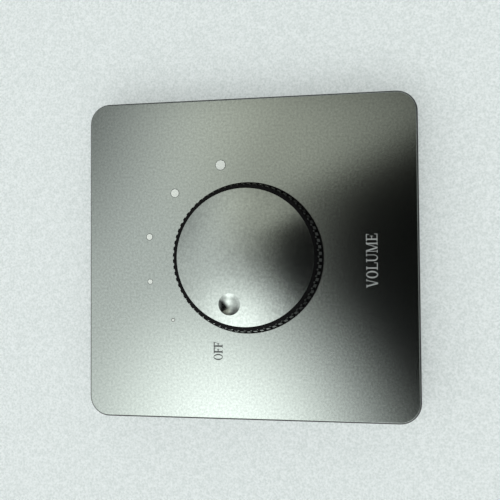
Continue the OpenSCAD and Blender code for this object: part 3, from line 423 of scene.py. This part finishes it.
def solder(name, node, ends_in_front):
    """A fillet round each pin of a node, on the side of the board where the pins come out."""
    box_low, box_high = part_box(node)
    tip = box_low.y if ends_in_front else box_high.y
    face = board_front if ends_in_front else board_back
    outward = -1 if ends_in_front else 1
    deselect()
    joints = []
    for middle in pin_centres(node, tip):
        bpy.ops.mesh.primitive_circle_add(vertices=round_sides, radius=pad_r, fill_type="NGON",
                                          location=(middle.x, face, middle.z), rotation=(math.pi / 2, 0, 0))
        bpy.ops.object.mode_set(mode="EDIT")
        bpy.ops.mesh.select_all(action="SELECT")
        bpy.ops.mesh.extrude_region_move(TRANSFORM_OT_translate={"value": (0, outward * pad_t, 0)})
        ring_r = pad_r
        for ring in range(1, fillet_rings + 1):
            share = ring / fillet_rings
            next_r = pin_r + (fillet_foot_r - pin_r) * (1 - share) ** 2
            rise = (fillet_h - pad_t) / fillet_rings
            bpy.ops.mesh.extrude_region_move(TRANSFORM_OT_translate={"value": (0, outward * rise, 0)})
            level = face + outward * (pad_t + rise * ring)
            bpy.ops.transform.resize(value=(next_r / ring_r, 1, next_r / ring_r),
                                     center_override=(middle.x, level, middle.z))
            ring_r = next_r
        bpy.ops.object.mode_set(mode="OBJECT")
        joints.append(bpy.context.object)
    join(joints)
    piece = settle(name, solder_finish.material)
    bpy.ops.object.shade_smooth_by_angle(angle=fillet_smooth)


solder("switch_solder", "fixed_contacts", False)
solder("common_solder", "common_contact", False)
solder("transformer_solder", "bobbin_pins", True)
solder("terminal_solder", "terminal_pins", True)


# Core bolts. Plated like the other screws, with a rolled thread of half a millimetre pitch. They
# clamp the laminations and hold the transformer on the board.
thread_pitch = 0.5 * mm
bolt_dark, bolt_light = (0.48, 0.49, 0.51), (0.64, 0.63, 0.59)
bolt_finish = Finish("bolt_steel", metallic=1.0)
bolt_crystals = bolt_finish.grain(0.5 * mm, detail=5.0)
bolt_finish.colour(bolt_finish.ramp(bolt_crystals, bolt_dark, bolt_light))
bolt_finish.gloss(bolt_crystals, smooth=0.22, rough=0.40)
bolt_finish.relief(bolt_finish.stripes(thread_pitch, "Y"), depth=0.15 * mm)
bolt_finish.on("core_bolts")


# Transformer core. Silicon steel laminations, stacked in the depth of the box and varnished. The
# cut edges show every sheet, and the outer sheets are smooth blue grey.
sheet_t = 0.5 * mm
sheet_dark, sheet_light = (0.045, 0.045, 0.05), (0.23, 0.23, 0.24)
varnish_dark, varnish_light = (0.15, 0.155, 0.17), (0.24, 0.245, 0.26)
core_finish = Finish("lamination_steel", metallic=0.75, edge=0.06 * mm)
sheets = core_finish.stripes(sheet_t, "Y", wander=0.15)
varnish = core_finish.grain(4 * mm, detail=5.0)
sheet_colour = core_finish.ramp(sheets, sheet_dark, sheet_light, low=0.05, high=0.55)
face_colour = core_finish.ramp(varnish, varnish_dark, varnish_light)
core_facing = core_finish.add("NewGeometry", {}).outputs["True Normal"]
core_depth = core_finish.add("SeparateXYZ", {"Vector": core_facing}).outputs["Y"]
outer_sheet = core_finish.math("ABSOLUTE", core_depth)
core_finish.colour(core_finish.mix(outer_sheet, sheet_colour, face_colour))
core_finish.gloss(varnish, smooth=0.30, rough=0.52)
core_finish.relief(sheets, depth=0.03 * mm)
core_finish.on("transformer_core")


# Bobbin and spacers. Natural nylon, cream and slightly waxy, moulded without texture. The bobbin
# carries the winding, and the spacers keep the core off the board.
nylon_dark, nylon_light = (0.62, 0.57, 0.44), (0.74, 0.70, 0.58)
nylon_finish = Finish("bobbin_plastic", edge=0.15 * mm)
nylon_flow = nylon_finish.grain(3.5 * mm, detail=3.0)
nylon_finish.colour(nylon_finish.ramp(nylon_flow, nylon_dark, nylon_light))
nylon_finish.gloss(nylon_finish.grain(0.5 * mm), smooth=0.32, rough=0.48)
nylon_finish.relief(nylon_finish.grain(0.25 * mm), depth=0.003 * mm)
nylon_finish.on("bobbin", "core_spacers")


# Winding. Enamelled copper wire laid turn by turn along the bobbin, so fine ridges run round it
# under the tape. Its colour holds painted shade in the grooves between turns and a painted highlight on
# their crowns.
wire_pitch = 0.32 * mm
wire_groove_shade, wire_crown_highlight = (0.30, 0.09, 0.03), (0.62, 0.26, 0.11)
wire_finish = Finish("copper", metallic=1.0)
turns = wire_finish.stripes(wire_pitch, "X", wander=0.3)
# Painted shade in the grooves between the turns and painted highlight along their crowns.
wire_finish.colour(wire_finish.ramp(turns, wire_groove_shade, wire_crown_highlight, low=0.1, high=0.8))
wire_finish.gloss(wire_finish.grain(0.6 * mm), smooth=0.22, rough=0.38)
wire_finish.relief(turns, depth=0.08 * mm)
wire_finish.on("winding")


# Winding tape. Thin amber polyester film wrapped tightly over the coil. The film is glossy, drawn a
# little wavy by the turns below it, with faint bands where its layers overlap.
lap_pitch = 5.5 * mm
tape_dark, tape_light = (0.67, 0.42, 0.038), (0.71, 0.46, 0.048)
tape_finish = Finish("tape")
tape_waves = tape_finish.grain(1.6 * mm, detail=1.0)
tape_turns = tape_finish.stripes(wire_pitch, "X", wander=0.3)
tape_laps = tape_finish.stripes(lap_pitch, "X", wander=0.1)
tape_finish.colour(tape_finish.ramp(tape_laps, tape_dark, tape_light, low=0.4, high=0.6))
tape_finish.gloss(tape_waves, smooth=0.12, rough=0.24)
tape_finish.relief(tape_turns, depth=0.006 * mm)
tape_finish.relief(tape_waves, depth=0.05 * mm)
tape_finish.shader.inputs["Coat Weight"].default_value = 0.4
tape_finish.shader.inputs["Coat Roughness"].default_value = 0.10
tape_finish.on("winding_tape")


# Terminal block. A green moulding soldered to the bottom of the board, with a screw well behind
# each of its four ways and a wire entry below.
block_dark, block_light = (0.016, 0.150, 0.075), (0.024, 0.195, 0.105)
block_finish = Finish("terminal_plastic", edge=0.18 * mm)
block_flow = block_finish.grain(4 * mm, detail=3.0)
block_specks = block_finish.grain(0.18 * mm)
block_finish.colour(block_finish.ramp(block_flow, block_dark, block_light))
block_finish.gloss(block_specks, smooth=0.34, rough=0.52)
block_finish.relief(block_specks, depth=0.005 * mm)
block_finish.on("terminal_block")


# Clamp cages and screws. Plated like the other steel parts, with a slot across each screw. They sit
# in the wells of the terminal block and clamp the wires.
clamp_dark, clamp_light = (0.48, 0.48, 0.48), (0.64, 0.63, 0.60)
clamp_finish = Finish("clamp_steel", metallic=1.0, edge=0.08 * mm)
clamp_crystals = clamp_finish.grain(0.4 * mm, detail=5.0)
clamp_finish.colour(clamp_finish.ramp(clamp_crystals, clamp_dark, clamp_light))
clamp_finish.gloss(clamp_crystals, smooth=0.20, rough=0.38)
clamp_finish.on("terminal_cages", "terminal_screws")


# Cover. A nearly black moulding that snaps over the yoke. Its rim is the thin dark line round
# the plate, and its sides have the fine leathery texture of a moulded wall fitting.
cover_dark, cover_light = (0.040, 0.041, 0.044), (0.058, 0.059, 0.062)
cover_finish = Finish("cover_plastic", edge=0.2 * mm)
cover_hide = cover_finish.grain(0.28 * mm, detail=3.0)
cover_flow = cover_finish.grain(5 * mm)
cover_finish.colour(cover_finish.ramp(cover_flow, cover_dark, cover_light))
cover_finish.gloss(cover_hide, smooth=0.40, rough=0.60)
cover_finish.relief(cover_hide, depth=0.014 * mm)
cover_finish.on("cover_frame")


# Bonding film. Cream transfer adhesive, cut from a sheet. It lies between the cover's web and the
# plate and holds the plate for good.
film_dark, film_light = (0.66, 0.61, 0.46), (0.78, 0.73, 0.59)
film_finish = Finish("adhesive")
film_fibres = film_finish.grain(0.6 * mm, stretch=(1, 1, 0.2), detail=4.0)
film_finish.colour(film_finish.ramp(film_fibres, film_dark, film_light))
film_finish.gloss(film_fibres, smooth=0.5, rough=0.7)
film_finish.on("bonding_film")


# Front plate. Aluminium, bead blasted and anodised in a natural grey with a green cast. The fine
# craters of the blasting break up its reflections, and its front edge is rolled over.
plate_dark = (0.340, 0.377, 0.352)
plate_light = (0.446, 0.493, 0.460)
blast_size = 0.22 * mm
blast_clouds = 0.6 * mm
blast_depth = 0.0022 * mm
drift_depth = 0.0026 * mm
plate_finish = Finish("plate_aluminium", metallic=1.0)
blast = plate_finish.grain(blast_size, detail=3.0)
blast_drift = plate_finish.grain(blast_clouds, detail=2.0)
plate_finish.colour(plate_finish.ramp(blast_drift, plate_dark, plate_light))
plate_finish.gloss(blast, smooth=0.085, rough=0.14)
plate_finish.relief(blast, blast_depth)
plate_finish.relief(blast_drift, drift_depth)
plate_finish.on("front_plate")


# Printed marks. Five dots that grow clockwise in pale ink, each on a slightly larger dark disc that
# shows as a thin dark ring round it, and two plain words, one in grey and one in dark ink, printed on
# the plate in thin layers.
ink_t = 0.03 * mm
ink_sides = 48
ink_mottle, ink_specks = 0.25 * mm, 0.15 * mm
ink_smooth, ink_rough = 0.5, 0.7
soft_edge = 0.6
dot_ring_width = 0.14 * mm
plate_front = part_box("front_plate")[0].y
dots = [(25.0, 7.4, 2.6), (17.75, 20.1, 2.2), (5.95, 27.3, 1.65), (-6.25, 27.1, 1.25), (-16.65, 20.7, 0.8)]

# The letters have thick and thin strokes on a height of 1. A stroke is (foot, head, width, low, high).
# A bowl is (across, up, half width, half height, then the same for its inside), cut off at a level.
letters = {
    "E": {"width": 0.94,
          "strokes": [(0.25, 0.25, 0.16, 0, 1), (0.44, 0.44, 0.80, 0.93, 1), (0.45, 0.45, 0.84, 0, 0.07),
                      (0.43, 0.43, 0.40, 0.475, 0.545), (0.80, 0.83, 0.06, 0.74, 0.98),
                      (0.83, 0.86, 0.06, 0.02, 0.28), (0.62, 0.62, 0.05, 0.37, 0.65)]},
    "F": {"width": 0.80,
          "strokes": [(0.22, 0.22, 0.22, 0, 1), (0.39, 0.39, 0.76, 0.89, 1), (0.22, 0.22, 0.42, 0, 0.08),
                      (0.40, 0.40, 0.40, 0.45, 0.55), (0.73, 0.75, 0.08, 0.70, 0.98),
                      (0.58, 0.58, 0.07, 0.36, 0.64)]},
    "L": {"width": 0.90,
          "strokes": [(0.25, 0.25, 0.16, 0, 1), (0.25, 0.25, 0.42, 0.94, 1), (0.45, 0.45, 0.84, 0, 0.07),
                      (0.83, 0.86, 0.06, 0.02, 0.30)]},
    "M": {"width": 1.34,
          "strokes": [(0.20, 0.20, 0.07, 0, 1), (1.10, 1.10, 0.16, 0, 1), (0.63, 0.24, 0.17, 0, 1),
                      (0.65, 1.05, 0.08, 0, 1), (0.18, 0.18, 0.28, 0.94, 1), (0.20, 0.20, 0.34, 0, 0.06),
                      (1.10, 1.10, 0.40, 0, 0.06), (1.14, 1.14, 0.28, 0.94, 1)]},
    "O": {"width": 0.98, "strokes": [],
          "bowl": (0.48, 0.50, 0.43, 0.515, 0.48, 0.50, 0.25, 0.445)},
    "U": {"width": 1.08,
          "strokes": [(0.23, 0.23, 0.16, 0.33, 1), (0.86, 0.86, 0.07, 0.33, 1), (0.23, 0.23, 0.40, 0.94, 1),
                      (0.86, 0.86, 0.30, 0.94, 1)],
          "bowl": (0.522, 0.345, 0.372, 0.36, 0.567, 0.345, 0.257, 0.285), "cut": 0.345},
    "V": {"width": 1.05,
          "strokes": [(0.53, 0.18, 0.17, 0, 1), (0.56, 0.88, 0.08, 0, 1), (0.19, 0.19, 0.38, 0.94, 1),
                      (0.88, 0.88, 0.28, 0.94, 1)]},
}


def matt_ink(name, dark, light):
    """A printing ink that dries matt, with a faint mottle."""
    ink = Finish(name)
    ink.colour(ink.ramp(ink.grain(ink_mottle), dark, light))
    ink.gloss(ink.grain(ink_specks), ink_smooth, ink_rough)
    return ink


pale_ink = matt_ink("pale_ink", dark=(0.86, 0.92, 0.85), light=(0.94, 0.99, 0.92))
grey_ink = matt_ink("grey_ink", dark=(0.29, 0.31, 0.30), light=(0.36, 0.38, 0.37))
dark_ink = matt_ink("dark_ink", dark=(0.085, 0.092, 0.090), light=(0.120, 0.128, 0.125))


def ink_disc(across, up, width, height):
    """One printed disc with a softened edge."""
    deselect()
    bpy.ops.mesh.primitive_circle_add(vertices=ink_sides, radius=width / 2, fill_type="NGON",
                                      location=(across, plate_front, up), rotation=(math.pi / 2, 0, 0))
    bpy.ops.object.mode_set(mode="EDIT")
    bpy.ops.mesh.select_all(action="SELECT")
    bpy.ops.mesh.extrude_region_move(TRANSFORM_OT_translate={"value": (0, -height, 0)})
    bpy.ops.mesh.bevel(offset=soft_edge * height, segments=2, affect="EDGES")
    bpy.ops.object.mode_set(mode="OBJECT")
    return bpy.context.object


def thicken():
    """Gives the flat shape that is being edited the thickness of 1, and leaves edit mode."""
    bpy.ops.mesh.select_all(action="SELECT")
    bpy.ops.mesh.extrude_region_move(TRANSFORM_OT_translate={"value": (0, 0, 1)})
    bpy.ops.mesh.select_all(action="SELECT")
    bpy.ops.mesh.normals_make_consistent(inside=False)
    bpy.ops.object.mode_set(mode="OBJECT")
    return bpy.context.object


def ink_stroke(foot, head, width, low, high):
    """One straight stroke of a letter, with level ends."""
    deselect()
    bpy.ops.mesh.primitive_plane_add(size=1, location=(foot, (low + high) / 2, 0))
    bar = bpy.context.object
    bar.scale = (width, high - low, 1)
    bpy.ops.object.transform_apply(location=True, rotation=True, scale=True)
    pick(bar, lambda co: co.y > (low + high) / 2)
    bpy.ops.transform.translate(value=(head - foot, 0, 0))
    return thicken()


def ink_bowl(ovals, cut):
    """One bowl of a letter between two ovals, or only its part below a level."""
    deselect()
    rings = []
    for across, up, half_width, half_height in (ovals[:4], ovals[4:]):
        bpy.ops.mesh.primitive_circle_add(vertices=ink_sides, radius=1, location=(across, up, 0))
        bpy.context.object.scale = (half_width, half_height, 1)
        bpy.ops.object.transform_apply(location=True, rotation=True, scale=True)
        rings.append(bpy.context.object)
    join(rings)
    bpy.ops.object.mode_set(mode="EDIT")
    bpy.ops.mesh.select_all(action="SELECT")
    bpy.ops.mesh.bridge_edge_loops()
    if cut:
        bpy.ops.mesh.select_all(action="SELECT")
        bpy.ops.mesh.bisect(plane_co=(0, cut, 0), plane_no=(0, 1, 0), clear_outer=True)
    return thicken()


def fuse(pieces):
    """Makes one solid of several that run into each other. It is then the active object."""
    whole = pieces[0]
    bpy.context.view_layer.objects.active = whole
    for piece in pieces[1:]:
        union = whole.modifiers.new("union", "BOOLEAN")
        union.operation = "UNION"
        union.solver = "EXACT"
        union.object = piece
        bpy.ops.object.modifier_apply(modifier=union.name)
        bpy.data.objects.remove(piece)
    return whole


def ink_word(word, across, up, length, height, ink):
    """One printed word, fitted to its length and height."""
    pieces = []
    place = 0
    for letter in word:
        drawing = letters[letter]
        if "drawn" not in drawing:
            shapes = [ink_stroke(*stroke) for stroke in drawing["strokes"]]
            if "bowl" in drawing:
                shapes.append(ink_bowl(drawing["bowl"], drawing.get("cut")))
            drawing["drawn"] = fuse(shapes)
        piece = drawing["drawn"].copy()
        piece.data = piece.data.copy()
        piece.location.x = place
        scene.collection.objects.link(piece)
        pieces.append(piece)
        place += drawing["width"]
    join(pieces)
    bpy.ops.object.transform_apply(location=True, rotation=True, scale=True)
    printed = bpy.context.object
    corners = [Vector(corner) for corner in printed.bound_box]
    low = Vector([min(corner[axis] for corner in corners) for axis in range(3)])
    high = Vector([max(corner[axis] for corner in corners) for axis in range(3)])
    fit = Vector((length, height, ink_t))
    size = high - low
    middle = (high + low) / 2
    scale = Vector([fit[axis] / size[axis] for axis in range(3)])
    turn = Matrix.Rotation(math.pi / 2, 4, "X")
    to_plate = Matrix.Translation((across, plate_front - ink_t / 2, up)) @ turn
    printed.matrix_world = to_plate @ Matrix.Diagonal((*scale, 1)) @ Matrix.Translation(-middle)
    settle("word_" + word.lower(), ink.material)


scene = bpy.context.scene
for step, (across, up, width) in enumerate(dots, start=1):
    ink_disc(across * mm, up * mm, width * mm, ink_t)
    settle(f"step_dot_{step}", pale_ink.material)
# A dark disc a little wider than each dot, so a thin dark ring shows round it.
join([ink_disc(across * mm, up * mm, width * mm + 2 * dot_ring_width, ink_t / 2)
      for across, up, width in dots])
settle("dot_dark_rings", dark_ink.material)
ink_word("OFF", across=-24.85 * mm, up=8.3 * mm, length=4.8 * mm, height=2.5 * mm, ink=dark_ink)
ink_word("VOLUME", across=-1.1 * mm, up=-32.4 * mm, length=14.0 * mm, height=3.0 * mm, ink=grey_ink)
for drawing in letters.values():
    bpy.data.objects.remove(drawing["drawn"])


# Knob body. Black moulded plastic with 72 flutes for the fingers and a smooth ring round the cap.
# It is pushed on the flat of the shaft.
knob_dark, knob_light = (0.0030, 0.0030, 0.0033), (0.0055, 0.0055, 0.0060)
knob_finish = Finish("knob_plastic")
knob_specks = knob_finish.grain(0.2 * mm)
knob_flow = knob_finish.grain(3 * mm)
knob_finish.colour(knob_finish.ramp(knob_flow, knob_dark, knob_light))
knob_finish.gloss(knob_specks, smooth=0.12, rough=0.20)
knob_finish.relief(knob_specks, depth=0.002 * mm)
knob_finish.shader.inputs["Specular IOR Level"].default_value = 0.08
knob_finish.on("knob_body")


# Knob cap. A turned aluminium disc, blasted and anodised like the plate and glued into the knob.
# Its finger dimple is cut with a ball cutter after blasting, so it is bright.
dimple_out = 12.7 * mm
dimple_turn = math.radians(162)
dimple_r = 2.9 * mm
dimple_edge = 0.12 * mm
dimple_rough, cap_rough, haze_rough = 0.08, 0.10, 0.06
cap_finish = Finish("cap_aluminium", metallic=1.0)
cap_blast = cap_finish.grain(blast_size, detail=3.0)
cap_drift = cap_finish.grain(blast_clouds, detail=2.0)
cap_finish.colour(cap_finish.ramp(cap_drift, plate_dark, plate_light))
dimple_middle = (dimple_out * math.cos(dimple_turn), 0, dimple_out * math.sin(dimple_turn))
on_face = {0: cap_finish.place((1, 0, 1)), 1: dimple_middle}
from_dimple = cap_finish.add("VectorMath", on_face, operation="DISTANCE").outputs["Value"]
blasted = cap_finish.spread(from_dimple, dimple_rough, cap_rough,
                            dimple_r - dimple_edge, dimple_r, smooth=True)
cap_haze = cap_finish.spread(cap_blast, 0.0, haze_rough)
cap_roughness = cap_finish.math("ADD", blasted, cap_haze)
cap_finish.links.new(cap_roughness, cap_finish.shader.inputs["Roughness"])
cap_finish.relief(cap_blast, blast_depth)
cap_finish.relief(cap_drift, drift_depth)
cap_finish.on("knob_cap")


# Wall. A pale painted wall with the opening of a wall box behind the yoke. It is only the stage, and
# part of its paleness is a glow that lights nothing.
opening_w = 74 * mm
opening_h = 77 * mm
wall_reach = 0.6
wall_gap = 0.2 * mm
paint_dark, paint_light = (0.73, 0.80, 0.78), (0.96, 1.0, 1.0)
glow_dark, glow_light = (0.70, 0.77, 0.755), (0.90, 0.985, 0.965)
paint_glow = 0.4
paint_finish = Finish("wall_paint")
paint_peel = paint_finish.grain(0.55 * mm, detail=2.0)
paint_colour = paint_finish.ramp(paint_peel, paint_dark, paint_light)
paint_finish.colour(paint_colour)
paint_finish.gloss(paint_peel, smooth=0.6, rough=0.8)
paint_finish.relief(paint_peel, depth=0.04 * mm)
glow_colour = paint_finish.ramp(paint_peel, glow_dark, glow_light)
glow = paint_finish.add("Emission", {"Color": glow_colour, "Strength": 1.0}).outputs["Emission"]
rays = paint_finish.add("LightPath", {}).outputs
mirrored = paint_finish.math("MAXIMUM", rays["Is Glossy Ray"], rays["Is Transmission Ray"])
seen = paint_finish.math("MAXIMUM", rays["Is Camera Ray"], mirrored)
share = paint_finish.math("MULTIPLY", seen, paint_glow)
painted = paint_finish.shader.outputs["BSDF"]
lit = paint_finish.add("MixShader", {0: share, 1: painted, 2: glow}).outputs["Shader"]
paint_finish.links.new(lit, paint_finish.nodes["Material Output"].inputs["Surface"])
deselect()
bpy.ops.mesh.primitive_plane_add(size=1, location=(0, wall_gap, 0), rotation=(math.pi / 2, 0, 0))
wall = bpy.context.object
wall.name = "wall"
wall.scale = (opening_w + 2 * wall_reach, opening_h + 2 * wall_reach, 1)
bpy.ops.object.transform_apply(location=True, rotation=True, scale=True)
bpy.ops.object.mode_set(mode="EDIT")
bpy.ops.mesh.select_all(action="SELECT")
bpy.ops.mesh.inset(thickness=wall_reach)
bpy.ops.mesh.delete(type="FACE")
bpy.ops.object.mode_set(mode="OBJECT")
wall.data.materials.append(paint_finish.material)


# Studio. An even pale room lights the part from all round, brighter from the sides and darker from
# below, with a large soft lamp for the back. A soft window to the left, a dark screen and a half dark
# one stand in front, where the metal reflects them.
room_front, room_side, room_back = 1.0, 1.5, 0.7
side_start, side_end = -0.80, -0.60
back_start, back_end = -0.45, -0.10
room_low = 0.25
low_start, low_end = -0.55, -0.88
room_right = 0.262
right_start, right_end = 0.229, 0.317
right_front, right_back = -0.60, -0.25
cool_light = (0.985, 1.0, 1.0)
warm_light = (1.04, 1.03, 0.92)
warm_at = (0.23, -0.97, 0.03)
warm_inner, warm_outer = 0.09, 0.36
screen_at = (0.024, -0.92, -0.433)
screen_half = (0.435, 0.9, 0.612)
screen_inner, screen_outer = 0.71, 1.21
screen_edge = (0.903, 0, 0.428)
edge_low, edge_high = 0.110, 0.171
edge_level = 0.63
edge_foot, edge_head = -0.24, 0.08
below_level = 0.5
below_start, below_end = -0.16, -0.38
shade_at = (0.31, -0.75, 0.513)
shade_half = (1.2, 0.9, 0.9)
shade_inner, shade_outer = 0.18, 0.394
shade_level = 0.277
window_at = (-0.251, -0.94, 0.18)
round_patch = (1.0, 1.0, 1.0)
window_inner, window_outer = 0.01, 0.284
window_light = 1.56
skylight_at = (-0.66, -0.71, 0.21)
skylight_inner, skylight_outer = 0.10, 0.38
skylight_light = 1.5
lamp_at = (0.7, 0.9, 0.8)
lamp_size = 0.7
lamp_light = 7.0

scene.world = bpy.data.worlds.new("studio")
room = Nodes(scene.world)
direction = room.add("TexCoord", {}).outputs["Generated"]


def patch(at, half, inner, outer, middle_value, outside_value):
    """A soft patch of the room's light, round a direction from the part."""
    offset = room.add("VectorMath", {0: direction, 1: at}, operation="SUBTRACT").outputs["Vector"]
    shaped = room.add("VectorMath", {0: offset, 1: half}, operation="DIVIDE").outputs["Vector"]
    away = room.add("VectorMath", {0: shaped}, operation="LENGTH").outputs["Value"]
    return room.spread(away, middle_value, outside_value, inner, outer, smooth=True)


part_of = room.add("SeparateXYZ", {"Vector": direction}).outputs
even = room.spread(part_of["Y"], room_front, room_side, side_start, side_end, smooth=True)
to_back = room.spread(part_of["Y"], 1, room_back / room_side, back_start, back_end, smooth=True)
even = room.math("MULTIPLY", even, to_back)
from_low = room.spread(part_of["Z"], room_low, 1, low_end, low_start, smooth=True)
even = room.math("MULTIPLY", even, from_low)
from_right = room.spread(part_of["X"], 1, room_right, right_start, right_end, smooth=True)
beside = room.spread(part_of["Y"], 0, 1, right_front, right_back, smooth=True)
even = room.math("MULTIPLY", even, room.math("MAXIMUM", from_right, beside))
past_edge = room.add("VectorMath", {0: direction, 1: screen_edge}, operation="DOT_PRODUCT").outputs["Value"]
past_screen = room.spread(past_edge, 0, edge_level, edge_low, edge_high, smooth=True)
past_screen = room.math("MULTIPLY", past_screen, room.spread(part_of["Z"], 0, 1, edge_foot, edge_head))
below_screen = room.spread(part_of["Z"], below_level, 0, below_end, below_start, smooth=True)
past_screen = room.math("MAXIMUM", past_screen, below_screen)
screen = room.math("MAXIMUM", patch(screen_at, screen_half, screen_inner, screen_outer, 0, 1), past_screen)
shade = patch(shade_at, shade_half, shade_inner, shade_outer, shade_level, 1)
window = patch(window_at, round_patch, window_inner, window_outer, window_light, 0)
skylight = patch(skylight_at, round_patch, skylight_inner, skylight_outer, skylight_light, 0)
shaded = room.math("MULTIPLY", even, room.math("MULTIPLY", screen, shade))
level = room.math("ADD", shaded, room.math("ADD", window, skylight))
room.links.new(level, room.nodes["Background"].inputs["Strength"])
warmth = patch(warm_at, round_patch, warm_inner, warm_outer, 1, 0)
tint = room.ramp(warmth, cool_light, warm_light, low=0.0, high=1.0)
room.links.new(tint, room.nodes["Background"].inputs["Color"])

lamp = bpy.data.lights.new("back_lamp", "AREA")
lamp.shape = "DISK"
lamp.size = lamp_size
lamp.energy = lamp_light * math.pi * math.pi * lamp_size ** 2 / 4
lamp_stand = bpy.data.objects.new("back_lamp", lamp)
scene.collection.objects.link(lamp_stand)
lamp_stand.location = lamp_at
lamp_stand.rotation_euler = lamp_stand.location.to_track_quat("Z", "Y").to_euler()


# Camera. It looks at the plate from close by and a little below. The picture lies on its side,
# with the object's right at the top.
eye = Vector((-3.35, -182.16, -29.26)) * mm
aim = Vector((2.05, -8.9, -0.49)) * mm
picture_up = Vector((1, 0, -0.0069))
picture_size = 500
focal_pixels = 659.7
camera = bpy.data.cameras.new("camera")
camera.sensor_width = 36
camera.lens = focal_pixels * camera.sensor_width / picture_size
camera.clip_start = 0.01
camera_stand = bpy.data.objects.new("camera", camera)
scene.collection.objects.link(camera_stand)
forward = (aim - eye).normalized()
right = forward.cross(picture_up).normalized()
above = right.cross(forward)
camera_stand.matrix_world = Matrix.Translation(eye) @ Matrix((right, above, -forward)).transposed().to_4x4()
scene.camera = camera_stand
scene.view_settings.view_transform = "Standard"
